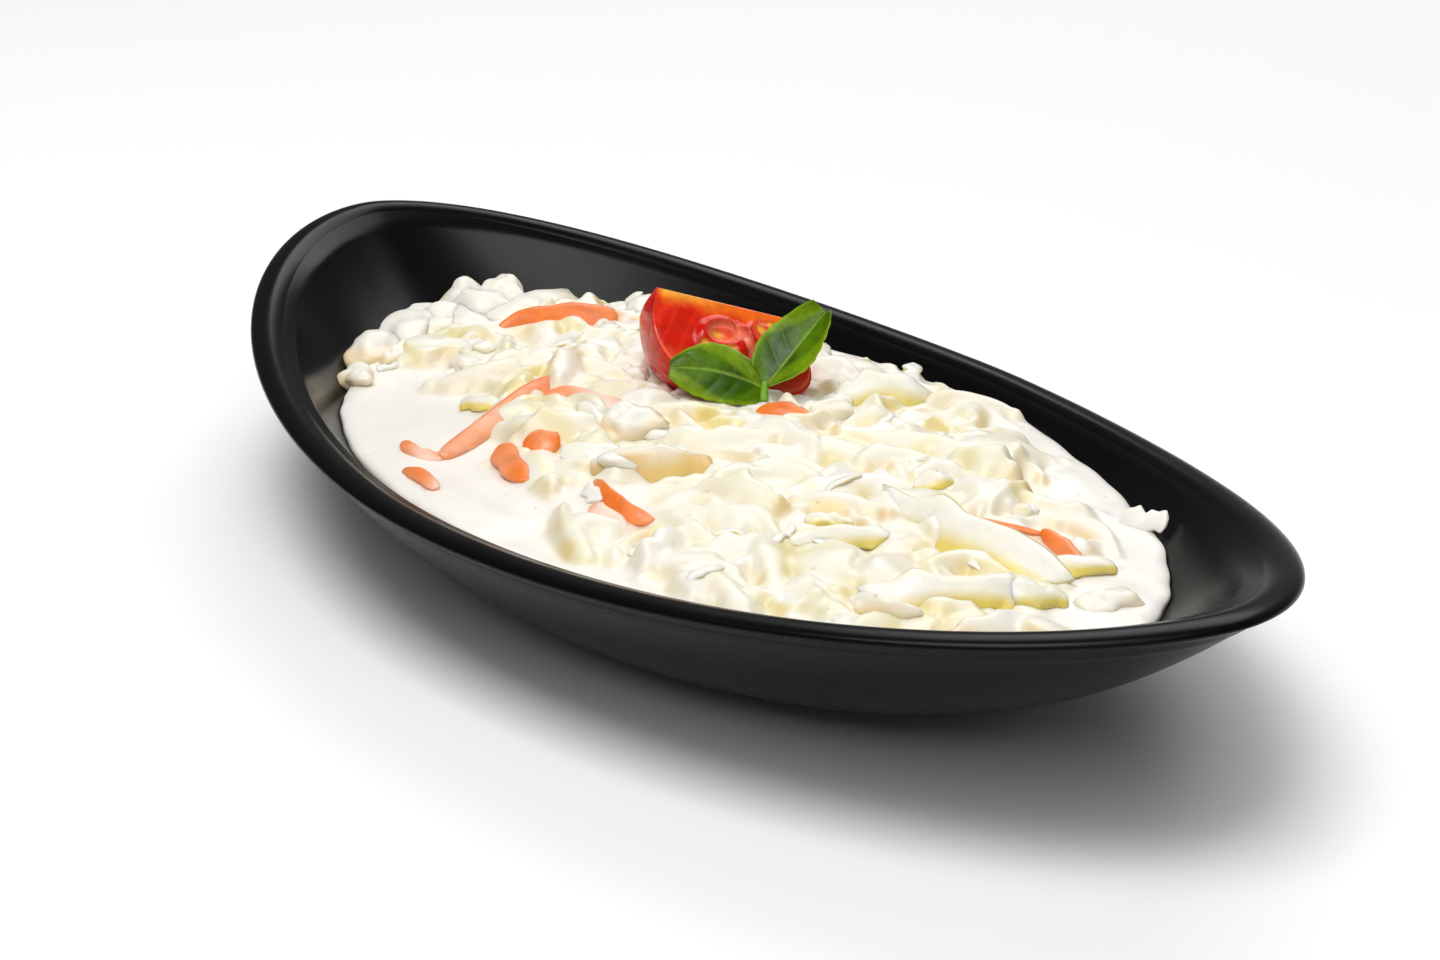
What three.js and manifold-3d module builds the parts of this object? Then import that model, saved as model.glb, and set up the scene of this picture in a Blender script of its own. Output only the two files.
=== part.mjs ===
// Coleslaw heaped in an oval, boat-shaped black bowl, topped with a tomato wedge and a basil sprig.
// Units are millimetres, +Z is up, and the origin is the middle of the foot's rest plane.
// +X runs along the bowl's length.
import * as THREE from 'three';
import Module from 'manifold-3d';
import { mergeVertices } from 'three/addons/utils/BufferGeometryUtils.js';

const wasm = await Module();
wasm.setup();

// Driving dimensions of the bowl.
const BOWL_LENGTH = 260;
const BOWL_WIDTH = 142;
const PLAN_EXPONENT = 1.79;
const RIM_HEIGHT_SIDE = 28.4;
const RIM_RISE_ENDS = 11.9;
const RIM_RISE_POWER = 2.12;
const RIM_BAND = 6.6;
const WALL_CURVE = 1.94;
const FLOOR_THICKNESS = 4.5;
const FOOT_HEIGHT = 1.6;
const FOOT_LENGTH = 107.4;
const FOOT_WIDTH = 66.4;
const FOOT_RING_WIDTH = 5.2;
const BOWL_SIDES = 72;

// Driving dimensions of the heap.
const FILL_HEIGHT = 25.4;
const FILL_DROP = 4.0;
const DOME_HEIGHT = 3.2;
const CLEARANCE = 0.35;
const SHRED_COUNT = 24;
const SHRED_THICKNESS = 1.3;
const CARROT_THICKNESS = 1.9;

// Driving dimensions of the toppings.
const WEDGE_RIDGE_HALF = 13.2;
const WEDGE_DEPTH = 18.6;
const WEDGE_TIP_BULGE = 3.4;
const WEDGE_STEM_BULGE = 14.8;
const WEDGE_CENTRE = new THREE.Vector3(-24, 18.3, 43);
const WEDGE_HEADING = 66.8;
const WEDGE_DIP = 15.1;
const WEDGE_FACE_ANGLE = 48.5;
const WEDGE_SPREAD = 84;
const LEAF_THICKNESS = 0.55;
const WEDGE_GAP = 0.6;
const LEAF_GAP = 0.4;

const TAU = Math.PI * 2;
const rad = (degrees) => (degrees * Math.PI) / 180;
const vec = (x, y, z) => new THREE.Vector3(x, y, z);

// Repeatable draws in the range 0 to 1.
function seededDraws(seed) {
  let state = seed >>> 0;
  return () => {
    state = (state + 0x6d2b79f5) >>> 0;
    let t = state;
    t = Math.imul(t ^ (t >>> 15), t | 1);
    t ^= t + Math.imul(t ^ (t >>> 7), t | 61);
    return ((t ^ (t >>> 14)) >>> 0) / 4294967296;
  };
}

function smoothStep(low, high, value) {
  const t = Math.min(1, Math.max(0, (value - low) / (high - low)));
  return t * t * (3 - 2 * t);
}

// Turns points and triangles into a closed solid, facing out.
function solidFrom(points, triangles) {
  const geometry = new THREE.BufferGeometry();
  geometry.setAttribute('position', new THREE.Float32BufferAttribute(points.flat(), 3));
  geometry.setIndex(triangles.flat());
  const merged = mergeVertices(geometry, 1e-5);
  const index = [];
  const raw = merged.index.array;
  for (let i = 0; i < raw.length; i += 3) {
    const [a, b, c] = [raw[i], raw[i + 1], raw[i + 2]];
    if (a !== b && b !== c && c !== a) index.push(a, b, c);
  }
  const position = merged.attributes.position.array;
  if (signedVolume(position, index) < 0) {
    for (let i = 0; i < index.length; i += 3) {
      [index[i + 1], index[i + 2]] = [index[i + 2], index[i + 1]];
    }
  }
  return new wasm.Manifold(new wasm.Mesh({
    numProp: 3,
    vertProperties: Float32Array.from(position),
    triVerts: Uint32Array.from(index),
  }));
}

function signedVolume(position, index) {
  let total = 0;
  const a = new THREE.Vector3();
  const b = new THREE.Vector3();
  const c = new THREE.Vector3();
  for (let i = 0; i < index.length; i += 3) {
    a.fromArray(position, index[i] * 3);
    b.fromArray(position, index[i + 1] * 3);
    c.fromArray(position, index[i + 2] * 3);
    total += a.dot(b.cross(c));
  }
  return total / 6;
}

// Lofts closed rings with equal point counts and closes both ends with a fan.
function loftRings(rings) {
  const points = [];
  const triangles = [];
  const count = rings[0].length;
  for (const ring of rings) points.push(...ring);
  for (let r = 0; r + 1 < rings.length; r += 1) {
    for (let i = 0; i < count; i += 1) {
      const j = (i + 1) % count;
      const a = r * count + i;
      const b = r * count + j;
      const c = a + count;
      const d = b + count;
      triangles.push([a, b, d], [a, d, c]);
    }
  }
  const closeEnd = (ring, base, flip) => {
    const middle = [0, 1, 2].map((k) => ring.reduce((sum, p) => sum + p[k], 0) / count);
    const centre = points.length;
    points.push(middle);
    for (let i = 0; i < count; i += 1) {
      const j = (i + 1) % count;
      triangles.push(flip ? [centre, base + j, base + i] : [centre, base + i, base + j]);
    }
  };
  closeEnd(rings[0], 0, true);
  closeEnd(rings[rings.length - 1], (rings.length - 1) * count, false);
  return solidFrom(points, triangles);
}

// Closed sheet of even thickness about a mid surface given over u and v in 0 to 1.
function sheet(stepsU, stepsV, thickness, midSurface) {
  const points = [];
  const triangles = [];
  const step = 1e-3;
  const rows = stepsU + 1;
  const columns = stepsV + 1;
  const upper = [];
  const lower = [];
  for (let i = 0; i < rows; i += 1) {
    for (let j = 0; j < columns; j += 1) {
      const u = i / stepsU;
      const v = j / stepsV;
      const p = midSurface(u, v);
      const ua = Math.max(0, u - step);
      const ub = Math.min(1, u + step);
      const va = Math.max(0, v - step);
      const vb = Math.min(1, v + step);
      const du = midSurface(ub, v).sub(midSurface(ua, v));
      const dv = midSurface(u, vb).sub(midSurface(u, va));
      const normal = du.cross(dv).normalize().multiplyScalar(thickness / 2);
      upper.push(p.clone().add(normal).toArray());
      lower.push(p.clone().sub(normal).toArray());
    }
  }
  points.push(...upper, ...lower);
  const below = rows * columns;
  const at = (i, j) => i * columns + j;
  for (let i = 0; i < stepsU; i += 1) {
    for (let j = 0; j < stepsV; j += 1) {
      const [a, b, c, d] = [at(i, j), at(i + 1, j), at(i + 1, j + 1), at(i, j + 1)];
      triangles.push([a, b, c], [a, c, d]);
      triangles.push([below + a, below + c, below + b], [below + a, below + d, below + c]);
    }
  }
  const border = [];
  for (let i = 0; i < stepsU; i += 1) border.push(at(i, 0));
  for (let j = 0; j < stepsV; j += 1) border.push(at(stepsU, j));
  for (let i = stepsU; i > 0; i -= 1) border.push(at(i, stepsV));
  for (let j = stepsV; j > 0; j -= 1) border.push(at(0, j));
  for (let k = 0; k < border.length; k += 1) {
    const a = border[k];
    const b = border[(k + 1) % border.length];
    triangles.push([a, below + a, below + b], [a, below + b, b]);
  }
  return solidFrom(points, triangles);
}

// Keeps only the largest connected shell of a solid, so that no pocket stays sealed inside.
function outerShell(solid) {
  const raw = solid.getMesh();
  const count = raw.vertProperties.length / raw.numProp;
  const parent = Array.from({ length: count }, (_, i) => i);
  const find = (i) => {
    let k = i;
    while (parent[k] !== k) {
      parent[k] = parent[parent[k]];
      k = parent[k];
    }
    return k;
  };
  for (let i = 0; i < raw.triVerts.length; i += 3) {
    const root = find(raw.triVerts[i]);
    parent[find(raw.triVerts[i + 1])] = root;
    parent[find(raw.triVerts[i + 2])] = root;
  }
  const shells = new Map();
  for (let i = 0; i < raw.triVerts.length; i += 3) {
    const root = find(raw.triVerts[i]);
    if (!shells.has(root)) shells.set(root, []);
    shells.get(root).push(raw.triVerts[i], raw.triVerts[i + 1], raw.triVerts[i + 2]);
  }
  let best = [];
  for (const shell of shells.values()) if (shell.length > best.length) best = shell;
  return new wasm.Manifold(new wasm.Mesh({
    numProp: 3,
    vertProperties: raw.vertProperties,
    triVerts: Uint32Array.from(best),
  }));
}

// Swells a solid outward along its vertex normals.
function swollen(solid, distance) {
  const raw = solid.getMesh();
  const geometry = new THREE.BufferGeometry();
  geometry.setAttribute('position', new THREE.BufferAttribute(new Float32Array(raw.vertProperties), 3));
  geometry.setIndex(Array.from(raw.triVerts));
  geometry.computeVertexNormals();
  const position = geometry.attributes.position.array;
  const normal = geometry.attributes.normal.array;
  for (let i = 0; i < position.length; i += 1) position[i] += normal[i] * distance;
  return new wasm.Manifold(new wasm.Mesh({
    numProp: 3,
    vertProperties: position,
    triVerts: raw.triVerts,
  }));
}

// Draws back corners of a solid that touch one another, so that its surface never meets itself.
function partedCorners(solid) {
  const raw = solid.getMesh();
  const geometry = new THREE.BufferGeometry();
  const position = new Float32Array(raw.vertProperties);
  geometry.setAttribute('position', new THREE.BufferAttribute(position, 3));
  geometry.setIndex(Array.from(raw.triVerts));
  geometry.computeVertexNormals();
  const normal = geometry.attributes.normal.array;
  const places = new Map();
  for (let i = 0; i < position.length; i += 3) {
    const key = [0, 1, 2].map((k) => Math.round(position[i + k] * 1000)).join();
    if (!places.has(key)) places.set(key, []);
    places.get(key).push(i);
  }
  for (const touching of places.values()) {
    if (touching.length < 2) continue;
    for (const i of touching) {
      for (let k = 0; k < 3; k += 1) position[i + k] -= normal[i + k] * 0.06;
    }
  }
  return new wasm.Manifold(new wasm.Mesh({
    numProp: 3,
    vertProperties: position,
    triVerts: raw.triVerts,
  }));
}

// Bowl.
const HALF_LENGTH = BOWL_LENGTH / 2;
const HALF_WIDTH = BOWL_WIDTH / 2;

// Plan outline of the rim at an angle, drawn in by a distance along its inward normal.
function rimPoint(angle, inset) {
  const power = 2 / PLAN_EXPONENT;
  const c = Math.cos(angle);
  const s = Math.sin(angle);
  const x = HALF_LENGTH * Math.sign(c) * Math.abs(c) ** power;
  const y = HALF_WIDTH * Math.sign(s) * Math.abs(s) ** power;
  const nx = Math.sign(x) * Math.abs(x / HALF_LENGTH) ** (PLAN_EXPONENT - 1) / HALF_LENGTH;
  const ny = Math.sign(y) * Math.abs(y / HALF_WIDTH) ** (PLAN_EXPONENT - 1) / HALF_WIDTH;
  const size = Math.hypot(nx, ny);
  return [x - (nx / size) * inset, y - (ny / size) * inset];
}

function rimHeight(angle) {
  const [x] = rimPoint(angle, 0);
  return RIM_HEIGHT_SIDE + RIM_RISE_ENDS * Math.abs(x / HALF_LENGTH) ** RIM_RISE_POWER;
}

function footPoint(angle, inset) {
  const [x, y] = rimPoint(angle, 0);
  const heading = Math.atan2(y / HALF_WIDTH, x / HALF_LENGTH);
  return [
    (FOOT_LENGTH / 2 - inset) * Math.cos(heading),
    (FOOT_WIDTH / 2 - inset) * Math.sin(heading),
  ];
}

// Outer wall, from the foot at 0 to the rim's edge at 1.
function outerWall(angle, s) {
  const [fx, fy] = footPoint(angle, 0);
  const [rx, ry] = rimPoint(angle, 0);
  const rise = rimHeight(angle) - FOOT_HEIGHT;
  return [fx + (rx - fx) * s, fy + (ry - fy) * s, FOOT_HEIGHT + rise * s ** WALL_CURVE];
}

// Inner wall, held off by a gap where the contents need clearance.
function innerWall(angle, s, gap = 0) {
  const floor = FOOT_HEIGHT + FLOOR_THICKNESS;
  const [fx, fy] = footPoint(angle, 1 + gap);
  const [rx, ry] = rimPoint(angle, RIM_BAND + gap);
  const rise = rimHeight(angle) - floor;
  return [fx + (rx - fx) * s, fy + (ry - fy) * s, floor + rise * s ** WALL_CURVE + gap * 0.9];
}

const ANGLES = Array.from({ length: BOWL_SIDES }, (_, i) => ((i + 0.5) / BOWL_SIDES) * TAU);
const WALL_STEPS = [0, 0.16, 0.32, 0.46, 0.6, 0.72, 0.83, 0.92];

function ringOf(pointAt) {
  return ANGLES.map(pointAt);
}

function makeBowl() {
  const footRing = (inset, z) => ringOf((angle) => [...footPoint(angle, inset), z]);
  const bead = (inset, drop) => ringOf((angle) => [
    ...rimPoint(angle, inset),
    rimHeight(angle) - drop,
  ]);
  const rings = [
    footRing(FOOT_RING_WIDTH + 1.6, FOOT_HEIGHT),
    footRing(FOOT_RING_WIDTH + 1, 0),
    footRing(1, 0),
  ];
  for (const s of WALL_STEPS) rings.push(ringOf((angle) => outerWall(angle, s)));
  rings.push(bead(0.15, 1.2), bead(1.2, 0.3), bead(3.3, 0), bead(5.4, 0.3), bead(6.45, 1.2));
  for (const s of [...WALL_STEPS].reverse()) rings.push(ringOf((angle) => innerWall(angle, s)));
  return loftRings(rings);
}

// Space inside the bowl that the contents may fill, open above the rim.
function makeCavity() {
  const rings = WALL_STEPS.map((s) => ringOf((angle) => innerWall(angle, s, CLEARANCE)));
  rings.push(ringOf((angle) => innerWall(angle, 0.97, CLEARANCE)));
  rings.push(ringOf((angle) => [...innerWall(angle, 0.97, CLEARANCE).slice(0, 2), 60]));
  return loftRings(rings);
}

// Heap.

// Height of the dressed surface: level at the wall, lower at the near left, domed in the middle.
function fillLevel(x, y) {
  const level = FILL_HEIGHT - FILL_DROP * smoothStep(30, 105, -0.93 * x - 0.62 * y);
  const dome = Math.max(0, 1 - ((x + 2) / 92) ** 2 - ((y - 4) / 58) ** 2);
  return level + DOME_HEIGHT * dome;
}

function heapHeight(x, y) {
  const calm = smoothStep(45, 80, -0.93 * x - 0.62 * y);
  const slow = Math.sin(x * 0.19 + 1.3) * Math.sin(y * 0.23 + 0.4);
  const quick = Math.sin(x * 0.37 - y * 0.21 + 2.1) * Math.sin(x * 0.12 + y * 0.41);
  return fillLevel(x, y) + (1 - 0.8 * calm) * (0.55 * slow + 0.5 * quick);
}

function makeHeapCore() {
  const reach = [1.04, 0.92, 0.8, 0.68, 0.56, 0.43, 0.29, 0.14];
  const plan = (angle, r) => {
    const [x, y] = rimPoint(angle, 4);
    return [x * r, y * r];
  };
  const rings = [
    ringOf((angle) => [...plan(angle, 0.3), 3]),
    ringOf((angle) => [...plan(angle, 1.04), 3]),
  ];
  for (const r of reach) {
    rings.push(ringOf((angle) => {
      const [x, y] = plan(angle, r);
      return [x, y, heapHeight(x, y)];
    }));
  }
  return loftRings(rings);
}

// Flat strip along a path: four-sided section that narrows at the ends and turns about the path.
function strip(path, width, thickness, bankStart = 0, bankEnd = 0, taper = 0.45) {
  const rings = [];
  const last = path.length - 1;
  for (let i = 0; i <= last; i += 1) {
    const along = path[Math.min(last, i + 1)].clone().sub(path[Math.max(0, i - 1)]).normalize();
    const normal = vec(0, 0, 1).addScaledVector(along, -along.z).normalize();
    const side = along.clone().cross(normal);
    const t = i / last;
    const bank = bankStart + (bankEnd - bankStart) * t;
    const across = side.clone().multiplyScalar(Math.cos(bank)).addScaledVector(normal, Math.sin(bank));
    const off = normal.clone().multiplyScalar(Math.cos(bank)).addScaledVector(side, -Math.sin(bank));
    const half = (width / 2) * (1 - (1 - taper) * Math.abs(2 * t - 1) ** 3);
    const corner = (a, b) => path[i].clone()
      .addScaledVector(across, a * half)
      .addScaledVector(off, (b * thickness) / 2)
      .toArray();
    rings.push([corner(-1, -1), corner(1, -1), corner(1, 1), corner(-1, 1)]);
  }
  return loftRings(rings);
}

// Path on the heap through plan points, lifted above the surface.
function pathOnHeap(plan, lift) {
  return plan.map(([x, y, extra = 0]) => vec(x, y, fillLevel(x, y) + lift + extra));
}

// Carrot shreds that show, by where they lie.
const CARROTS = [
  { plan: [[-37, -9], [-32, -19, 0.3], [-27, -29, 0.3], [-22, -39], [-20, -45, -0.3]], width: 4 },
  { plan: [[-20, -45, -0.3], [-25, -47.5, -0.2], [-31, -46, -0.5]], width: 3.2 },
  { plan: [[-74, 2, 0.4], [-72, 9, 0.8], [-69, 16, 0.8], [-66, 23, 0.3]], width: 4 },
  { plan: [[-29, -18], [-26, -14, 0.6], [-21, -12, 0.6], [-17, -9]], width: 3.6 },
  { plan: [[-13, -32], [-9, -30, 0.5], [-5, -26]], width: 4 },
  { plan: [[-15, -36], [-7, -39, 0.5], [2, -41]], width: 4.2 },
  { plan: [[12, -33], [19, -35, 0.8], [25, -34, 1], [30, -32, 0.4]], width: 3.6 },
  { plan: [[-2, 10.5, 0.4], [2, 13.5, 0.8], [7, 16.8, 0.4]], width: 3.6 },
  { plan: [[55, 12], [61, 15, 0.5], [67, 18, 0.8], [73, 17, 0.5], [80, 16]], width: 2.4 },
  { plan: [[-17, -54], [-11, -54, 0.4], [-5, -55]], width: 3 },
];

// Cabbage pieces that stand out, as strips by plan point, width and turn about their length.
const CABBAGE = [
  { plan: [[8, -11, 0.4], [9.5, -5, 1.4], [11, 4, 0.8]], width: 6.5, bank: -0.3 },
  { plan: [[50, -20, 0.4], [53, -13, 1.2], [56, -5, 0.4]], width: 4.6, bank: -0.5 },
  { plan: [[47, -23, 0.8], [54, -28, 1.6], [64, -34, 0]], width: 6, bank: 0.8 },
  { plan: [[51, -19, 0.8], [59, -23, 1.8], [67, -26, 0.2]], width: 6.5, bank: 0.6 },
  { plan: [[61, -13, 0.6], [67, -18, 2], [72, -22, 0.8]], width: 4.5, bank: 0.8 },
  { plan: [[73, -20, 0.1], [77, -14, 1.4], [81, -7, 1.4], [83, -3, 0.4]], width: 6, bank: -0.4 },
  { plan: [[82, -4, 0.1], [85, 0, 1.2], [87, 5, 0.2]], width: 5, bank: -0.3 },
  { plan: [[48, 2, 0.4], [58, 3.5, 1.4], [69, 4.5, 1.4], [81, 7, 0.3]], width: 7, bank: -0.4 },
  { plan: [[74, 10, 0.2], [79, 15, 1], [81, 22, 0.4]], width: 5, bank: -0.3 },
  { plan: [[-2, 29, 0.6], [1, 36, 2], [4, 42, 2], [4, 47, 0.8]], width: 8, bank: -0.3 },
  { plan: [[-10, 44, 0.2], [-4, 46, 1.8], [3, 51, 0.6]], width: 5, bank: 0.3 },
  { plan: [[-7, 52, -0.5], [-9, 54, 1.2], [-12, 56, 2]], width: 3, bank: 0.3 },
  { plan: [[10, 25, 0.6], [11, 29, 1.6], [11, 33, 0.6]], width: 4.5, bank: -0.5 },
  { plan: [[19, 20, 0.6], [28, 27, 1.4], [37, 33, 0.4]], width: 7, bank: -0.25 },
  { plan: [[41, 13, 0.4], [43, 17, 1.8], [41, 21, 0.6]], width: 5, bank: 0.5 },
  { plan: [[26, -14, 0.6], [26, -5, 1.8], [35, -2, 0.8]], width: 6, bank: 0.4 },
  { plan: [[18, 2, 0.5], [21, 10, 1.6], [29, 13, 0.6]], width: 6.5, bank: 0.3 },
  { plan: [[30, -27, 0.3], [37, -24, 1.2], [42, -29, 0.2]], width: 5.5, bank: 0.3 },
  { plan: [[64, 45, -0.3], [70, 44.5, 1.6], [74, 42.5, 2.6]], width: 3.4, bank: 0.5 },
  { plan: [[60, 26, 0.3], [68, 29, 1], [77, 26, 0.2]], width: 5, bank: -0.3 },
  { plan: [[-42, -28, 0], [-38, -27, 0.8], [-33, -25, 0]], width: 3.6, bank: 0.3 },
  { plan: [[-60, 8, 0.4], [-53, 10, 1.2], [-46, 8, 0.4]], width: 5, bank: 0.3 },
];

// Rounded clumps of coated salad, as place, rise over the fill, half sizes and heading.
const CLUMPS = [
  { at: [-98, 7, 2.6], half: [4.6, 3.6, 4.4], heading: 0.1 },
  { at: [-95, 14.5, 2.4], half: [4.6, 3.6, 4.4], heading: -0.2 },
  { at: [-93, 9.5, 0.8], half: [6, 5, 3.6], heading: 0.3 },
  { at: [-99.5, 1.5, 1], half: [3.4, 2.6, 3], heading: 0.2 },
  { at: [-97.5, -4.5, 0.5], half: [3.4, 2.8, 2.6], heading: -0.3 },
  { at: [-92, -2, 0.4], half: [5, 4, 2.6], heading: 0.6 },
  { at: [-95.5, -11, 0.4], half: [4.2, 2.4, 2.2], heading: -0.8 },
  { at: [-88, -21, 0.2], half: [4.4, 3.4, 2.8], heading: -0.6 },
  { at: [-80.5, -27, 0.2], half: [4.8, 3.6, 2.8], heading: -0.5 },
  { at: [-72, -32.5, 0], half: [4.4, 3.2, 2.2], heading: -0.4 },
  { at: [-58, 37.5, 0.2], half: [4.4, 2.4, 2.4], heading: 0.4 },
  { at: [-76, 31, -0.2], half: [4.6, 3, 2], heading: 0.5 },
  { at: [-6, -14.5, 0.2], half: [5.2, 4.6, 4.2], heading: 0.93 },
  { at: [12, -22.5, -0.6], half: [8.6, 5.6, 4.4], heading: 1.23 },
  { at: [8.6, -22.5, 2], half: [4.4, 3.4, 2], heading: 1 },
  { at: [3, 23, 0.4], half: [3.4, 2.6, 2.8], heading: 1 },
  { at: [-14, 40.5, -0.4], half: [8, 5.6, 3.4], heading: 0.9 },
  { at: [-12, 49.5, -0.6], half: [5.6, 2.8, 2.6], heading: 0.5 },
  { at: [90, 12.5, -0.6], half: [4.8, 3.8, 2.6], heading: 1.2 },
  { at: [73, -22, -0.8], half: [5, 3, 2.8], heading: 0.6 },
];

// Loose shreds strewn over the rest of the heap by rule.
function strewnShreds() {
  const draw = seededDraws(4117);
  const shreds = [];
  while (shreds.length < SHRED_COUNT) {
    const x = -88 + 174 * draw();
    const y = -50 + 100 * draw();
    const heading = TAU * draw();
    const length = 9 + 11 * draw();
    const width = 2.6 + 3.2 * draw();
    const bend = (draw() - 0.5) * 0.9;
    const bank = (draw() - 0.5) * 1.1;
    const lift = 0.2 + 0.7 * draw();
    const inside = (x / 97) ** 2 + (y / 53) ** 2 < 0.82;
    const smoothCorner = -0.93 * x - 0.62 * y > 42;
    const smoothEdge = y > 36 && x > 12;
    if (!inside || smoothCorner || smoothEdge) continue;
    const plan = [-0.5, -0.17, 0.17, 0.5].map((t) => {
      const turn = heading + bend * t;
      const arch = 0.8 - 3.4 * t * t;
      return [x + Math.cos(turn) * length * t, y + Math.sin(turn) * length * t, arch];
    });
    shreds.push(strip(pathOnHeap(plan, lift), width, SHRED_THICKNESS, bank, bank * 0.4));
  }
  return shreds;
}

// Rounded clump with few sides, sunk in the dressed surface.
function clump({ at: [x, y, rise], half: [a, b, c], heading }) {
  return wasm.Manifold.sphere(1, 8)
    .scale([a, b, c])
    .rotate([0, 0, (heading * 180) / Math.PI])
    .translate([x, y, fillLevel(x, y) + rise]);
}

function makeHeap(cavity, keepOut) {
  const pieces = [makeHeapCore()];
  for (const { plan, width } of CARROTS) {
    pieces.push(strip(pathOnHeap(plan, 0.5), width, CARROT_THICKNESS, 0.15, -0.15));
  }
  for (const { plan, width, bank } of CABBAGE) {
    pieces.push(strip(pathOnHeap(plan, 0.2), width, SHRED_THICKNESS * 1.4, bank, bank * 0.6, 0.55));
  }
  for (const mound of CLUMPS) pieces.push(clump(mound));
  pieces.push(...strewnShreds());
  let heap = wasm.Manifold.union(pieces);
  for (const solid of keepOut) heap = heap.subtract(solid);
  heap = heap.intersect(cavity);
  return partedCorners(outerShell(heap.simplify(0.15)));
}

// Tomato wedge.

// Directions of the wedge: along its ridge, level across it, and down from it.
function wedgeFrame() {
  const heading = rad(WEDGE_HEADING);
  const dip = rad(WEDGE_DIP);
  const along = vec(
    Math.cos(heading) * Math.cos(dip),
    Math.sin(heading) * Math.cos(dip),
    -Math.sin(dip),
  );
  const across = along.clone().cross(vec(0, 0, 1)).normalize();
  const down = along.clone().cross(across).normalize();
  return { along, across, down };
}

// Point of the wedge by distance along the ridge, depth from it and turn from straight down.
function wedgePoint(x, depth, turn) {
  const { along, across, down } = wedgeFrame();
  const middle = rad(WEDGE_FACE_ANGLE - WEDGE_SPREAD / 2);
  return WEDGE_CENTRE.clone()
    .addScaledVector(along, x)
    .addScaledVector(across, Math.sin(turn + middle) * depth)
    .addScaledVector(down, Math.cos(turn + middle) * depth);
}

// Edge of a cut face at an angle from the blossom end to the stem end.
function wedgeEdge(theta) {
  const c = Math.cos(theta);
  const s = Math.sin(theta);
  const bulge = c > 0 ? WEDGE_TIP_BULGE : WEDGE_STEM_BULGE;
  const x = -c * WEDGE_RIDGE_HALF - Math.sign(c) * bulge * s * Math.sqrt(Math.abs(c));
  return [x, WEDGE_DEPTH * Math.max(0, s) ** 0.9];
}

function makeWedgeBody() {
  const steps = 16;
  const slices = 6;
  const points = [];
  const triangles = [];
  for (let j = 0; j <= slices; j += 1) {
    const turn = rad((j / slices - 0.5) * WEDGE_SPREAD);
    for (let i = 0; i <= steps; i += 1) {
      const [x, depth] = wedgeEdge((i / steps) * Math.PI);
      points.push(wedgePoint(x, i === 0 || i === steps ? 0 : depth, turn).toArray());
    }
  }
  const row = steps + 1;
  for (let j = 0; j < slices; j += 1) {
    for (let i = 0; i < steps; i += 1) {
      const a = j * row + i;
      triangles.push([a, a + 1, a + row + 1], [a, a + row + 1, a + row]);
    }
  }
  const ridge = points.length;
  points.push(wedgePoint(0, 0, 0).toArray());
  for (let i = 0; i < steps; i += 1) {
    triangles.push([ridge, i + 1, i], [ridge, slices * row + i, slices * row + i + 1]);
  }
  return solidFrom(points, triangles);
}

// Small rounded lump or hollow on the near cut face, at a place on that face.
function faceLump(x, depth, radii, rise, spin = 0) {
  const ball = new THREE.IcosahedronGeometry(1, 1);
  const { along } = wedgeFrame();
  const turn = rad(WEDGE_SPREAD / 2);
  const inward = wedgePoint(0, 1, turn).sub(wedgePoint(0, 0, turn)).normalize();
  const outward = along.clone().cross(inward).normalize();
  if (outward.z < 0) outward.negate();
  const basis = new THREE.Matrix4().makeBasis(
    along.clone().multiplyScalar(Math.cos(spin)).addScaledVector(inward, Math.sin(spin)),
    inward.clone().multiplyScalar(Math.cos(spin)).addScaledVector(along, -Math.sin(spin)),
    outward,
  );
  basis.scale(vec(...radii));
  basis.setPosition(wedgePoint(x, depth, turn).addScaledVector(outward, rise));
  ball.applyMatrix4(basis);
  const position = ball.attributes.position.array;
  const points = [];
  for (let i = 0; i < position.length; i += 3) points.push([...position.slice(i, i + 3)]);
  const triangles = [];
  for (let i = 0; i < points.length; i += 3) triangles.push([i, i + 1, i + 2]);
  return solidFrom(points, triangles);
}

function makeWedge() {
  const hollows = [
    faceLump(-2.5, 10.2, [6.2, 3.6, 1.6], 0),
    faceLump(9.5, 9, [6.4, 3.8, 1.6], 0, 0.35),
  ];
  const seeds = [
    faceLump(-4.5, 9.6, [1.7, 1.1, 0.9], -1.1, 0.6),
    faceLump(-0.5, 10.8, [1.7, 1.1, 0.9], -1.1, -0.4),
    faceLump(7.2, 8.2, [1.8, 1.1, 0.9], -1.1, 1.1),
    faceLump(11, 9.4, [1.8, 1.1, 0.9], -1.1, 0.9),
  ];
  let wedge = makeWedgeBody();
  for (const hollow of hollows) wedge = wedge.subtract(hollow);
  for (const seed of seeds) wedge = wedge.add(seed);
  return wedge.simplify(0.02);
}

// Basil sprig.

// Leaf between its stalk end and its tip, wide across, cupped towards its upper face.
function makeLeaf(shape, thickness) {
  const { base, tip, across, width, cup, arch, bow, wave } = shape;
  const along = tip.clone().sub(base);
  const length = along.length();
  along.normalize();
  const side = across.clone().addScaledVector(along, -across.dot(along)).normalize();
  const face = side.clone().cross(along);
  return sheet(10, 6, thickness, (u, v) => {
    const w = 2 * v - 1;
    const half = 0.5 + (width / 2 - 0.5) * Math.sin(Math.PI * (0.04 + 0.92 * u) ** 0.88) ** 0.75;
    const ripple = wave * Math.sin(u * 9 + w * 1.6) * w * w;
    return base.clone()
      .addScaledVector(along, u * length)
      .addScaledVector(side, w * half + bow * Math.sin(Math.PI * u))
      .addScaledVector(face, cup * w * w + arch * Math.sin(Math.PI * u) + ripple);
  });
}

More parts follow.
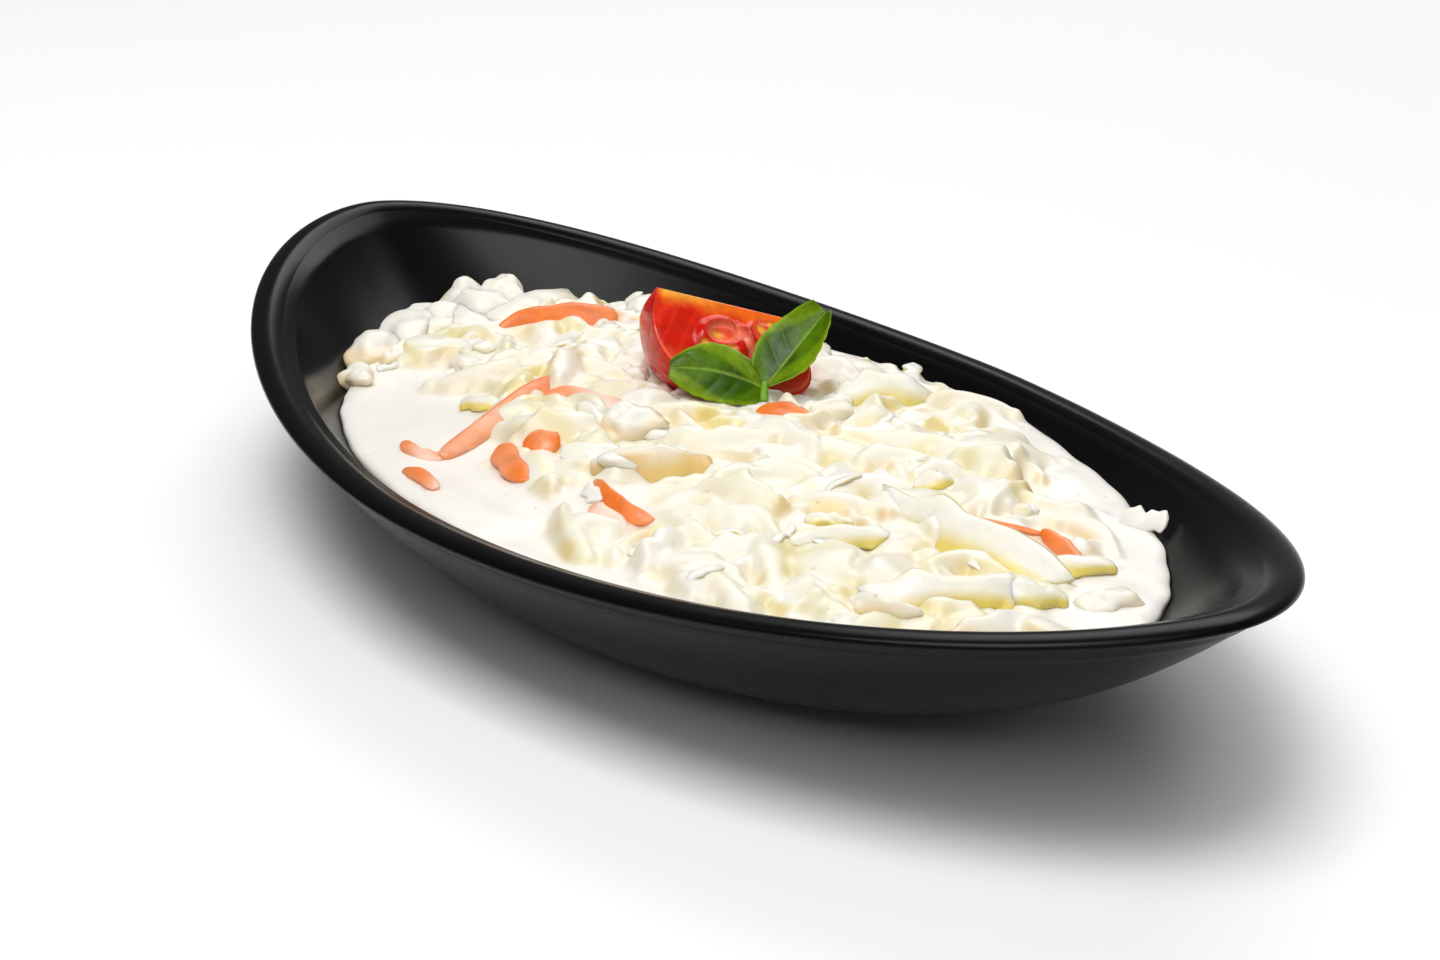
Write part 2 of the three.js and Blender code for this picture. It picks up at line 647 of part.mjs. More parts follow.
const LEAVES = [
  {
    base: vec(-7.4, 16.4, 31.4),
    tip: vec(-15.8, 0.9, 35.4),
    across: vec(-7.6, 4.9, 8.7),
    width: 12.4,
    cup: -0.5,
    arch: 0.6,
    bow: 1,
    wave: 0.3,
  },
  {
    base: vec(-6.9, 16.6, 31.8),
    tip: vec(-7.9, 30.6, 44),
    across: vec(12.1, 2.5, -1.8),
    width: 12.8,
    cup: 2.2,
    arch: -0.6,
    bow: -0.4,
    wave: 0.35,
  },
];

function makeSprig(thickness) {
  const extra = thickness - LEAF_THICKNESS;
  const stem = strip(
    [vec(-7.3, 16.6, 32.4), vec(-6.6, 16, 31), vec(-5.8, 15.4, 29.4)],
    1.7 + extra,
    1.5 + extra,
    0,
    0,
    0.8,
  );
  return wasm.Manifold.union([...LEAVES.map((shape) => makeLeaf(shape, thickness)), stem]);
}

// Assembly.
function meshFrom(solid, name, color, roughness) {
  const raw = solid.getMesh();
  const position = new Float32Array(raw.vertProperties);
  const geometry = new THREE.BufferGeometry();
  geometry.setAttribute('position', new THREE.BufferAttribute(position, 3));
  geometry.setIndex(Array.from(raw.triVerts));
  geometry.computeVertexNormals();
  const material = new THREE.MeshStandardMaterial({ color, roughness, metalness: 0 });
  const mesh = new THREE.Mesh(geometry, material);
  mesh.name = name;
  return mesh;
}

const bowl = makeBowl();
const wedge = makeWedge();
const sprig = makeSprig(LEAF_THICKNESS);
const heap = makeHeap(makeCavity(), [
  swollen(makeWedgeBody(), WEDGE_GAP),
  makeSprig(LEAF_THICKNESS + 2 * LEAF_GAP),
]);

const group = new THREE.Group();
group.name = 'coleslaw_bowl';
group.add(meshFrom(bowl, 'bowl', 0x1c1d1f, 0.45));
group.add(meshFrom(heap, 'coleslaw', 0xf3eddc, 0.4));
group.add(meshFrom(wedge, 'tomato_wedge', 0xc8321a, 0.25));
group.add(meshFrom(sprig, 'basil_sprig', 0x3f7d1c, 0.45));

export default group;
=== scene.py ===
"""Coleslaw heaped in a black boat-shaped bowl, topped with a tomato wedge and a basil sprig.

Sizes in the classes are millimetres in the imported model's frame: the origin is the middle of
the foot's rest plane, +X runs along the bowl and +Z is up. Meshes are written in metres.
"""
import logging
import math
from dataclasses import dataclass, field
from enum import Enum

import bpy
import numpy as np
from mathutils import Matrix, Vector


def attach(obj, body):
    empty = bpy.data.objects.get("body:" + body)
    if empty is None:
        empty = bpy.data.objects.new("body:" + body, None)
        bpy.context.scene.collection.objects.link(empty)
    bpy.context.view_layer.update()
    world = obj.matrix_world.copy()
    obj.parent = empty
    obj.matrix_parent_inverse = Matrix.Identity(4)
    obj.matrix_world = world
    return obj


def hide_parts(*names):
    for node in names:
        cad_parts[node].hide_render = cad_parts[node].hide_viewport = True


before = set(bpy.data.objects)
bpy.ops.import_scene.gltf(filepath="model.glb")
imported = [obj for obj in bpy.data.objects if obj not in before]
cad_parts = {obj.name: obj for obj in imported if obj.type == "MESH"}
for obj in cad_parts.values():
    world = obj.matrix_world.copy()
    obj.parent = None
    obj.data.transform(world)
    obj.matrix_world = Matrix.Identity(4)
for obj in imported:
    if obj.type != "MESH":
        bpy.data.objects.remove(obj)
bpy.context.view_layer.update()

LOG = logging.getLogger("coleslaw")
MM = 0.001
Array = np.ndarray
Socket, Material, Piece = bpy.types.NodeSocket, bpy.types.Material, bpy.types.Object
Pair = tuple[float, float]
Triple = tuple[float, float, float]
Layer = tuple[float, float, float, float, float]
Part = tuple[Array, Array, Array]
Ribbon = tuple[Array, float, float, float, Array]


def smooth_step(low: float, high: float, value: Array) -> Array:
    """Eases from 0 at low to 1 at high: t squared times three less two t.

    Args:
        low: Value where the step starts.
        high: Value where it ends.
        value: Values to ease.

    Returns:
        The eased values, from 0 to 1.
    """
    t = np.clip((value - low) / (high - low), 0.0, 1.0)
    return t * t * (3.0 - 2.0 * t)


def smooth_max(a: Array, b: Array, soft: float) -> Array:
    """Larger of two heights, rounded where they meet over a height of soft.

    Args:
        a: First heights.
        b: Second heights.
        soft: Height difference inside which the two blend.

    Returns:
        b plus the share of a minus b, with a small fillet where both are equal.
    """
    share = np.clip(0.5 + 0.5 * (a - b) / soft, 0.0, 1.0)
    return b + (a - b) * share + soft * share * (1.0 - share)


def unit(vectors: Array) -> Array:
    """Vectors divided by their own length, along the last axis."""
    return vectors / (np.linalg.norm(vectors, axis=-1, keepdims=True) + 1e-12)


def mix(a: Array, b: Array, share: Array) -> Array:
    """Colour a turned towards colour b by a share from 0 to 1, point by point.

    Args:
        a: Colours, or one colour.
        b: Colours, or one colour.
        share: Share of b for each point.

    Returns:
        Colours with one row a point.
    """
    w = np.asarray(share)[..., None]
    return np.asarray(a) * (1.0 - w) + np.asarray(b) * w


def linear(red: int, green: int, blue: int) -> Array:
    """Linear colour of a screen colour of three numbers from 0 to 255.

    Args:
        red: Red of the screen colour.
        green: Green of the screen colour.
        blue: Blue of the screen colour.

    Returns:
        Linear red, green and blue.
    """
    c = np.array([red, green, blue], float) / 255.0
    return np.where(c <= 0.04045, c / 12.92, ((c + 0.055) / 1.055) ** 2.4)


def gauss(values: Array, step: float, reach: float) -> Array:
    """Blurs a map with a bell of standard deviation reach, through its Fourier transform.

    Args:
        values: Map of values.
        step: Distance between two cells.
        reach: Standard deviation of the bell.

    Returns:
        The blurred map.
    """
    fy = np.fft.fftfreq(values.shape[0], step)[:, None]
    fx = np.fft.fftfreq(values.shape[1], step)[None, :]
    bell = np.exp(-2.0 * (math.pi * reach) ** 2 * (fx * fx + fy * fy))
    return np.fft.ifft2(np.fft.fft2(values) * bell).real


def drift(shape: tuple[int, int], step: float, reach: float, seed: int) -> Array:
    """Seeded random map, blurred to a grain of reach and scaled to a deviation of 1.

    Args:
        shape: Rows and columns of the map.
        step: Distance between two cells.
        reach: Standard deviation of the blur.
        seed: Seed of the draws.

    Returns:
        The random map.
    """
    raw = np.random.default_rng(seed).standard_normal(shape)
    soft = gauss(raw, step, reach)
    return soft / soft.std()


def grid_triangles(rows: int, columns: int, wrap: bool = False, first: int = 0) -> Array:
    """Two triangles for each cell of a grid of points that is stored row by row.

    Args:
        rows: Number of rows of points.
        columns: Number of columns of points.
        wrap: True joins the last column to the first.
        first: Index of the grid's first point.

    Returns:
        Triangles that face up where rows run along +Y and columns along +X.
    """
    r = np.arange(rows - 1)[:, None]
    c = np.arange(columns if wrap else columns - 1)[None, :]
    d = (c + 1) % columns
    a, b = r * columns + c, r * columns + d
    e, f = (r + 1) * columns + d, (r + 1) * columns + c
    cells = np.stack([np.stack([a, b, e], -1), np.stack([a, e, f], -1)], 2)
    return cells.reshape(-1, 3) + first


def fan_triangles(ring: Array, tip: int) -> Array:
    """Triangles from a closed ring of point indices to one tip point.

    Args:
        ring: Point indices in order round the ring.
        tip: Index of the tip point.

    Returns:
        One triangle for each side of the ring.
    """
    return np.stack([ring, np.roll(ring, -1), np.full_like(ring, tip)], -1)


def band_triangles(upper: Array, lower: Array) -> Array:
    """Triangles between two closed rings of the same number of point indices."""
    a, b = np.roll(upper, -1), np.roll(lower, -1)
    return np.concatenate([np.stack([upper, lower, b], -1), np.stack([upper, b, a], -1)])


def border(rows: int, columns: int) -> Array:
    """Point indices round the border of a grid that is stored row by row."""
    index = np.arange(rows * columns).reshape(rows, columns)
    return np.concatenate([index[0, :-1], index[:-1, -1], index[-1, :0:-1], index[:0:-1, 0]])


def capped_triangles(rings: int, around: int) -> Array:
    """Triangles of a tube that is closed at both ends.

    Args:
        rings: Number of rings of points.
        around: Number of points on a ring.

    Returns:
        Triangles; the points after the last ring's are the first and the last tip.
    """
    loop, count = np.arange(around), rings * around
    first, last = fan_triangles(loop[::-1], count), fan_triangles(loop + count - around, count + 1)
    return np.concatenate([grid_triangles(rings, around, wrap=True), first, last])


def outwards(points: Array, triangles: Array) -> Array:
    """Turns the triangles of a closed mesh outwards: its volume by them has to be positive.

    Args:
        points: Points of the mesh.
        triangles: Point indices, three a row.

    Returns:
        The triangles, reversed where the volume is negative.
    """
    a, b, c = (points[triangles[:, i]] for i in range(3))
    volume = np.einsum("ij,ij->i", a, np.cross(b, c)).sum()
    return triangles[:, ::-1] if volume < 0.0 else triangles


def put_mesh(
    name: str, points: Array, triangles: Array, material: Material, tint: Array | None = None
) -> Piece:
    """Makes a smooth shaded object of a closed mesh, with its faces turned outwards.

    Args:
        name: Name of the piece.
        points: Points in millimetres.
        triangles: Point indices, three a row.
        material: Finish of the piece.
        tint: Red, green and blue of each point.

    Returns:
        The new object, at the origin.
    """
    triangles = outwards(points, triangles)
    mesh = bpy.data.meshes.new(name)
    mesh.vertices.add(len(points))
    mesh.vertices.foreach_set("co", (points * MM).astype(np.float32).ravel())
    mesh.loops.add(triangles.size)
    mesh.loops.foreach_set("vertex_index", triangles.astype(np.int32).ravel())
    mesh.polygons.add(len(triangles))
    mesh.polygons.foreach_set("loop_start", np.arange(0, triangles.size, 3, dtype=np.int32))
    mesh.polygons.foreach_set("use_smooth", np.ones(len(triangles), bool))
    mesh.update(calc_edges=True)
    if tint is not None:
        layer = mesh.color_attributes.new(name="tint", type="FLOAT_COLOR", domain="POINT")
        opaque = np.column_stack([tint, np.ones(len(tint))])
        layer.data.foreach_set("color", opaque.astype(np.float32).ravel())
    mesh.materials.append(material)
    piece = bpy.data.objects.new(name, mesh)
    bpy.context.scene.collection.objects.link(piece)
    return piece


def put_parts(name: str, parts: list[Part], material: Material) -> Piece:
    """Makes one object of several closed parts.

    Args:
        name: Name of the piece.
        parts: Points, triangles and tint of each part.
        material: Finish of the piece.

    Returns:
        The new object, at the origin.
    """
    firsts = np.cumsum([0] + [len(points) for points, _, _ in parts])
    triangles = [outwards(p - p.mean(0), t) + first for (p, t, _), first in zip(parts, firsts)]
    points, tints = (np.concatenate([part[i] for part in parts]) for i in (0, 2))
    return put_mesh(name, points, np.concatenate(triangles), material, tints)


def curve_through(points: Array, count: int) -> Array:
    """Smooth curve through a few points: cubic pieces whose slope is half the step over each point.

    Args:
        points: Points that the curve passes.
        count: Number of points on the curve.

    Returns:
        Points along the curve.
    """
    padded = np.vstack([2 * points[0] - points[1], points, 2 * points[-1] - points[-2]])
    t = np.linspace(0.0, len(points) - 1.0, count)
    i = np.minimum(t.astype(int), len(points) - 2)
    f = (t - i)[:, None]
    p0, p1, p2, p3 = (padded[i + k] for k in range(4))
    bend = (2 * p0 - 5 * p1 + 4 * p2 - p3) * f**2 + (3 * p1 - p0 - 3 * p2 + p3) * f**3
    return 0.5 * (2 * p1 + (p2 - p0) * f + bend)


class Graph:
    """Short way to write a material's nodes."""

    def __init__(self, name: str) -> None:
        """Starts a material with one shader and its output.

        Args:
            name: Name of the material.
        """
        self.material = bpy.data.materials.new(name)
        self.material.use_nodes = True
        self.tree = self.material.node_tree
        self.shader = self.tree.nodes["Principled BSDF"]

    def add(self, kind: str, **values: object) -> bpy.types.Node:
        """Adds a node and sets its properties, or its inputs where no property has the name.

        Args:
            kind: Blender's name of the node type.
            **values: Properties by name, or inputs by name with spaces as underscores.

        Returns:
            The new node.
        """
        node = self.tree.nodes.new(kind)
        for key, value in values.items():
            if hasattr(node, key):
                setattr(node, key, value)
            else:
                node.inputs[key.replace("_", " ")].default_value = value
        return node

    def join(self, source: Socket, target: Socket) -> None:
        """Links one socket to another."""
        self.tree.links.new(source, target)

    def noise(self, scale: float, detail: float = 2.0, roughness: float = 0.5) -> Socket:
        """Noise on the object's own coordinates.

        Args:
            scale: Waves a metre.
            detail: Number of finer layers.
            roughness: Strength of the finer layers.

        Returns:
            The noise node's value, from 0 to 1.
        """
        place = self.add("ShaderNodeTexCoord")
        grain = self.add("ShaderNodeTexNoise", Scale=scale, Detail=detail, Roughness=roughness)
        self.join(place.outputs["Object"], grain.inputs["Vector"])
        return grain.outputs["Fac"]

    def remap(self, value: Socket, low: float, high: float, to_low: float, to_high: float) -> Socket:
        """Stretches a value from one range to another, held at its ends.

        Args:
            value: Socket to read.
            low: Start of the range read.
            high: End of the range read.
            to_low: Start of the range written.
            to_high: End of the range written.

        Returns:
            The stretched value's socket.
        """
        node = self.add("ShaderNodeMapRange", From_Min=low, From_Max=high, To_Min=to_low, To_Max=to_high)
        self.join(value, node.inputs["Value"])
        return node.outputs["Result"]

    def sheen(self, scale: float, low: float, high: float, detail: float = 2.0, half: float = 0.15) -> None:
        """Uneven roughness: a noise whose middle range is stretched from low to high.

        Args:
            scale: Waves a metre.
            low: Lowest roughness.
            high: Highest roughness.
            detail: Number of finer layers of the noise.
            half: Half of the noise's range that is stretched.
        """
        rough = self.remap(self.noise(scale, detail), 0.5 - half, 0.5 + half, low, high)
        self.join(rough, self.shader.inputs["Roughness"])

    def grain(self, *layers: Layer) -> None:
        """Fine bump of the shader's normal, each layer on the one before it.

        Args:
            *layers: Waves a metre, detail and roughness of the noise, strength and height in metres.
        """
        target = self.shader.inputs["Normal"]
        for scale, detail, roughness, strength, distance in reversed(layers):
            node = self.add("ShaderNodeBump", Strength=strength, Distance=distance)
            self.join(self.noise(scale, detail, roughness), node.inputs["Height"])
            self.join(node.outputs["Normal"], target)
            target = node.inputs["Normal"]

    def tinted(self, shade: Socket, spread: float) -> None:
        """Colours the shader by the piece's tint, lightened and darkened a little by a value.

        Args:
            shade: Value from 0 to 1.
            spread: Largest change of brightness either way.
        """
        tint = self.add("ShaderNodeAttribute", attribute_name="tint")
        change = self.remap(shade, 0.3, 0.7, 1.0 - spread, 1.0 + spread)
        blend = self.add("ShaderNodeVectorMath", operation="SCALE")
        self.join(tint.outputs["Color"], blend.inputs[0])
        self.join(change, blend.inputs["Scale"])
        self.join(blend.outputs[0], self.shader.inputs["Base Color"])

    def set(self, **values: object) -> None:
        """Sets inputs of the shader by name, with spaces as underscores."""
        for key, value in values.items():
            self.shader.inputs[key.replace("_", " ")].default_value = value


@dataclass(frozen=True)
class SatinBlack:
    """Black moulded melamine with a soft satin sheen and a fine grain."""

    shade: float = 0.0022
    roughness: float = 0.25
    specular: float = 0.10

    def material(self) -> Material:
        """Builds the finish: dark base, uneven roughness and fine bump.

        Returns:
            The material.
        """
        g = Graph("satin_black")
        g.sheen(38.0, self.roughness - 0.05, self.roughness + 0.05, 3.0, 0.2)
        g.grain((2600.0, 2.0, 0.5, 0.06, 0.0002))
        g.set(Base_Color=(self.shade, self.shade, self.shade * 1.06, 1.0), Specular_IOR_Level=self.specular)
        return g.material


@dataclass(frozen=True)
class CreamDressing:
    """Thick pale dressing that coats the shreds: soft inside light, wet sheen, small specks."""

    roughness: float = 0.34
    depth: float = 0.0018

    def material(self) -> Material:
        """Builds the finish: painted tint, speckle, soft scattering and small ripples.

        Returns:
            The material.
        """
        g = Graph("cream_dressing")
        tint = g.add("ShaderNodeAttribute", attribute_name="tint")
        speck = g.remap(g.noise(620.0, 1.0), 0.765, 0.79, 0.0, 0.3)
        mixed = g.add("ShaderNodeMix", data_type="RGBA")
        g.join(speck, mixed.inputs["Factor"])
        g.join(tint.outputs["Color"], mixed.inputs["A"])
        mixed.inputs["B"].default_value = (0.33, 0.24, 0.13, 1.0)
        g.join(mixed.outputs["Result"], g.shader.inputs["Base Color"])
        g.sheen(90.0, self.roughness - 0.04, self.roughness + 0.08)
        g.grain((300.0, 2.0, 0.5, 0.16, 0.0005), (1500.0, 2.0, 0.5, 0.06, 0.0002))
        g.set(Subsurface_Weight=0.5, Subsurface_Radius=(1.0, 0.88, 0.7), Subsurface_Scale=self.depth)
        g.set(Specular_IOR_Level=0.45)
        return g.material


@dataclass(frozen=True)
class Flesh:
    """Moist plant part, coloured by the painted tint, with a fine grain and light scattered inside."""

    name: str
    blotches: Pair
    roughness: Triple
    grain: tuple[Layer, ...]
    scatter: Pair
    scatter_rgb: Triple
    specular: float = 0.5
    coat: float = 0.0

    def material(self) -> Material:
        """Builds the finish: blotched tint, uneven roughness, bump, scattering and a wet coat.

        Returns:
            The material.
        """
        g = Graph(self.name)
        scale, spread = self.blotches
        g.tinted(g.noise(scale, 3.0), spread)
        g.sheen(*self.roughness)
        g.grain(*self.grain)
        weight, depth = self.scatter
        g.set(Subsurface_Weight=weight, Subsurface_Radius=self.scatter_rgb, Subsurface_Scale=depth)
        g.set(Specular_IOR_Level=self.specular)
        if self.coat:
            g.set(Coat_Weight=self.coat, Coat_Roughness=0.08)
        return g.material


FIBRES = ((560.0, 3.0, 0.6, 0.25, 0.0004), (2400.0, 2.0, 0.5, 0.12, 0.00012))
CELLS = ((520.0, 3.0, 0.6, 0.30, 0.0005), (1900.0, 2.0, 0.5, 0.16, 0.00015))
LEAF_GRAIN = ((1500.0, 3.0, 0.6, 0.18, 0.0003),)
CABBAGE_FLESH = Flesh(
    "cabbage_flesh", (340.0, 0.04), (260.0, 0.27, 0.44), FIBRES, (0.5, 0.0014), (1.0, 0.9, 0.72)
)
CARROT_FLESH = Flesh(
    "carrot_flesh", (340.0, 0.10), (260.0, 0.29, 0.46), FIBRES, (0.3, 0.0012), (1.0, 0.6, 0.35)
)
RIPE_TOMATO = Flesh(
    "ripe_tomato", (480.0, 0.14), (300.0, 0.14, 0.30), CELLS, (0.12, 0.0018), (1.0, 0.28, 0.12), 0.22, 0.10
)
BASIL_LEAF = Flesh(
    "basil_leaf", (700.0, 0.16), (420.0, 0.26, 0.42), LEAF_GRAIN, (0.18, 0.0008), (0.35, 1.0, 0.12), 0.2
)


@dataclass
class Bowl:
    """Oval boat-shaped bowl whose rim rises to both ends and stands on a low oval foot."""

    half_length: float = 130.0
    half_width: float = 71.0
    plan_power: float = 1.79
    side_height: float = 28.4
    end_rise: float = 11.9
    rise_power: float = 2.12
    rim_band: float = 6.6
    wall_curve: float = 1.94
    floor_thickness: float = 4.5
    foot_height: float = 1.6
    foot_half_length: float = 53.7
    foot_half_width: float = 33.2
    foot_profile: tuple[Pair, ...] = (
        (18.0, 1.6), (7.2, 1.6), (6.8, 1.5), (6.4, 0.5), (6.1, 0.08), (5.6, 0.0),
        (1.5, 0.0), (1.0, 0.12), (0.75, 0.6), (0.45, 1.3),
    )
    bead: float = 0.28
    groove: float = 0.16
    sides: int = 560
    finish: SatinBlack = field(default_factory=SatinBlack)

    def rim_point(self, angle: Array, inset: float) -> tuple[Array, Array]:
        """Rim outline moved inwards: each axis is its half size times a power of sine or cosine.

        Args:
            angle: Angles round the outline.
            inset: Distance inwards along the outline's normal.

        Returns:
            x and y.
        """
        c, s = np.cos(angle), np.sin(angle)
        power = 2.0 / self.plan_power
        x = self.half_length * np.sign(c) * np.abs(c) ** power
        y = self.half_width * np.sign(s) * np.abs(s) ** power
        nx = np.sign(x) * np.abs(x / self.half_length) ** (self.plan_power - 1.0) / self.half_length
        ny = np.sign(y) * np.abs(y / self.half_width) ** (self.plan_power - 1.0) / self.half_width
        length = np.hypot(nx, ny) + 1e-12
        return x - nx / length * inset, y - ny / length * inset

    def rim_height(self, angle: Array) -> Array:
        """Height of the rim: side height plus a power of the place along the length."""
        x, _ = self.rim_point(angle, 0.0)
        return self.side_height + self.end_rise * np.abs(x / self.half_length) ** self.rise_power

    def foot_point(self, angle: Array, inset: float) -> tuple[Array, Array]:
        """Point of the foot's ellipse below a rim angle.

        Args:
            angle: Angles round the outline.
            inset: Distance taken off both half sizes.

        Returns:
            x and y.
        """
        x, y = self.rim_point(angle, 0.0)
        heading = np.arctan2(y / self.half_width, x / self.half_length)
        x = (self.foot_half_length - inset) * np.cos(heading)
        return x, (self.foot_half_width - inset) * np.sin(heading)

    def outer_wall(self, angle: Array, s: float, stand: float = 0.0) -> Array:
        """Outer wall: straight in plan from foot to rim, its height a power of the way up.

        Args:
            angle: Angles round the wall.
            s: Way up the wall, 0 at the foot and 1 at the rim.
            stand: Distance that the wall stands proud.

        Returns:
            Points with one row an angle.
        """
        fx, fy = self.foot_point(angle, 0.0)
        rx, ry = self.rim_point(angle, -stand)
        height = self.foot_height + (self.rim_height(angle) - self.foot_height) * s**self.wall_curve
        return np.stack([fx + (rx - fx) * s, fy + (ry - fy) * s, height], -1)

    def inner_wall(self, angle: Array, s: Array | float, gap: float = 0.0) -> Array:
        """Inner wall, the same curve from the floor up to the rim band's inner edge.

        Args:
            angle: Angles round the wall.
            s: Way up the wall, 0 at the floor and 1 at the rim.
            gap: Distance held off the wall.

        Returns:
            Points with one row an angle.
        """
        floor = self.foot_height + self.floor_thickness
        fx, fy = self.foot_point(angle, 1.0 + gap)
        rx, ry = self.rim_point(angle, self.rim_band + gap)
        height = floor + (self.rim_height(angle) - floor) * s**self.wall_curve + 0.9 * gap
        return np.stack([fx + (rx - fx) * s, fy + (ry - fy) * s, height], -1)

    def build(self) -> Piece:
        """Joins rings from under the foot, up the outer wall, over the rim and down to the floor.

        Returns:
            The bowl.
        """
        angle = (np.arange(self.sides) + 0.5) / self.sides * math.tau
        flat = np.zeros_like(angle)

        def foot(inset: float, z: float) -> Array:
            """Ring of the foot's outline, moved inwards, at a height."""
            x, y = self.foot_point(angle, inset)
            return np.stack([x, y, flat + z], -1)

        def bell(s: float, middle: float, reach: float) -> float:
            """Bell curve over the way up the wall."""
            return math.exp(-(((s - middle) / reach) ** 2))

        rings = [foot(inset, z) for inset, z in self.foot_profile]
        for s in np.concatenate([np.linspace(0.02, 0.86, 34), np.linspace(0.872, 0.958, 16)]):
            stand = self.bead * bell(s, 0.925, 0.009) - self.groove * bell(s, 0.949, 0.006)
            rings.append(self.outer_wall(angle, float(s), stand))
        top = self.rim_height(angle)
        for turn in np.linspace(0.0, math.pi, 21):
            x, y = self.rim_point(angle, 3.2 - 3.1 * math.cos(turn))
            inner, outer = 1.25 * math.cos(turn) ** 2, 1.35 * (1.0 - math.sin(turn) ** 0.8)
            drop = outer if turn < math.pi / 2 else inner
            rings.append(np.stack([x, y, top - drop], -1))
        rings += [self.inner_wall(angle, float(s)) for s in np.linspace(0.965, 0.0, 40)]
        rings += [foot(14.0, 6.02), foot(26.0, 6.0)]
        points = np.concatenate([*rings, [[0.0, 0.0, 1.6], [0.0, 0.0, 6.0]]])
        triangles = capped_triangles(len(rings), self.sides)
        piece = put_mesh("serving_bowl", points, triangles, self.finish.material())
        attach(piece, "root")
        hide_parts("bowl")
        return piece


class Kind(Enum):
    """What a shred is cut from."""

    CARROT = "carrot"
    CABBAGE = "cabbage"
    RIB = "rib"


@dataclass(frozen=True)
class Shred:
    """One shred by where it lies: plan points with the height above the fill, width and turn."""

    kind: Kind
    plan: tuple[Triple, ...]
    width: float
    bank: float = 0.0
    thickness: float = 1.3
    coat: float = 0.5


def shreds(kind: Kind, *rows: tuple) -> tuple[Shred, ...]:
    """Shreds of one kind from rows of a shred's other values."""
    return tuple(Shred(kind, *row) for row in rows)


CARROT_SHREDS = shreds(
    Kind.CARROT,
    (
        ((-37, -9, 0.6), (-32, -19, 1.0), (-27, -29, 1.0), (-22, -39, 0.7), (-20, -45, 0.3)),
        4.4, 0.5, 2.1, 0.4,
    ),
    (((-20, -45, 0.2), (-25, -47.5, 0.4), (-31, -46, 0.3)), 3.2, 0.3, 1.6, 0.5),
    (((-74, -1, 0.6), (-73, 6, 2.0), (-71, 14, 2.6), (-67, 23, 2.0)), 6.2, -0.95, 2.2, 0.3),
    (((-29, -18, 0.3), (-26, -14, 1.1), (-21, -12, 1.2), (-16, -9, 0.5)), 4.4, -0.6, 1.7, 0.65),
    (((-11.5, -33, 0.3), (-9, -31, 1.3), (-7, -29, 0.8)), 5.8, -0.6, 2.0, 0.1),
    (((-15, -36, 0.3), (-7, -39, 1.0), (1, -41, 0.5)), 5.0, -0.4, 2.1, 0.15),
    (((12, -33.5, 1.0), (18, -35.5, 1.5), (24, -36, 1.3), (30, -34.5, 0.5)), 3.4, -0.8, 1.6, 0.25),
    (((-1.5, 10.8, 0.8), (2.5, 13.6, 1.6), (7, 16.8, 1.1)), 4.6, -0.6, 1.9, 0.05),
    (((54, 10.5, 0.7), (61, 14, 1.3), (68, 18, 1.6)), 1.3, -0.4, 1.0, 0.0),
    (((68, 18, 1.6), (74, 17.5, 1.6), (79.5, 15.5, 1.1)), 3.4, -0.7, 1.2, 0.0),
    (((-17, -54, 0.2), (-11, -54, 0.6), (-5, -55, 0.3)), 3.0, -0.3, 1.4, 0.5),
    (((18, -38, 0.0), (22, -39.2, 0.5), (28, -38, 0.1)), 4.4, -0.7, 1.4, 0.95),
)

CABBAGE_SHREDS = (
    Shred(
        Kind.RIB, ((8, -31, 0.5), (13, -26.5, 1.5), (16.5, -20, 1.5), (17.5, -13, 0.4)),
        7.6, -1.0, 2.8, -1.0,
    ),
    Shred(Kind.CABBAGE, ((-1, -31, 0.2), (1, -28, 1.6), (4, -25, 1.4)), 5.0, -0.6, 1.2, 0.5),
    Shred(Kind.RIB, ((50, -20, 0.6), (53, -13, 1.6), (56, -5, 0.6)), 5.4, -0.7, 2.2, 0.35),
    Shred(Kind.RIB, ((44, -13, 0.8), (47, -10, 1.5), (49, -7, 0.9)), 3.4, -0.5, 1.4, 0.0),
    Shred(Kind.RIB, ((73, -21, 0.3), (77, -14, 2.0), (81, -7, 2.0), (84, -1, 0.6)), 7.2, -0.75, 2.6, 0.45),
    Shred(Kind.RIB, ((82, -4, 0.3), (85, 0, 1.6), (87, 6, 0.4)), 5.6, -0.6, 2.2, 0.2),
    Shred(Kind.RIB, ((47, 2, 0.8), (58, 4, 2.2), (69, 5, 2.2), (82, 8, 0.6)), 8.0, -0.6, 2.0, 0.5),
    Shred(Kind.RIB, ((74, 10, 0.4), (79, 15, 1.2), (81, 22, 0.6)), 5.0, -0.4, 1.8, 0.6),
    Shred(Kind.RIB, ((-2, 29, 0.8), (1, 36, 2.4), (4, 42, 2.4), (4, 47, 1.0)), 8.5, -0.6, 3.2, 0.5),
    Shred(Kind.CABBAGE, ((-7, 52, -0.3), (-9, 54, 1.4), (-12, 56, 2.2)), 3.4, -0.3, 1.5, 1.4),
    Shred(Kind.RIB, ((41, 13, 0.6), (43, 17, 2.0), (41, 21, 0.8)), 5.0, -0.5, 1.4, 0.4),
    Shred(Kind.CABBAGE, ((66, 38.0, -0.4), (69.5, 40, 0.7), (72.6, 42.2, 2.3)), 5.0, -0.95, 1.6, 2.0),
    Shred(Kind.RIB, ((-42, -28, 0.2), (-38, -27, 1.0), (-33, -25, 0.2)), 4.0, -0.4, 1.6, 0.3),
    Shred(Kind.CABBAGE, ((-76, 33, -0.4), (-78, 35, 1.4), (-80, 36.5, 2.4)), 4.0, 0.6, 1.5, 1.4),
    Shred(Kind.CABBAGE, ((11.5, -35.2, 0.4), (14.5, -36.6, 1.5), (18.5, -37.2, 1.1)), 2.8, -0.8, 1.1, 2.0),
)

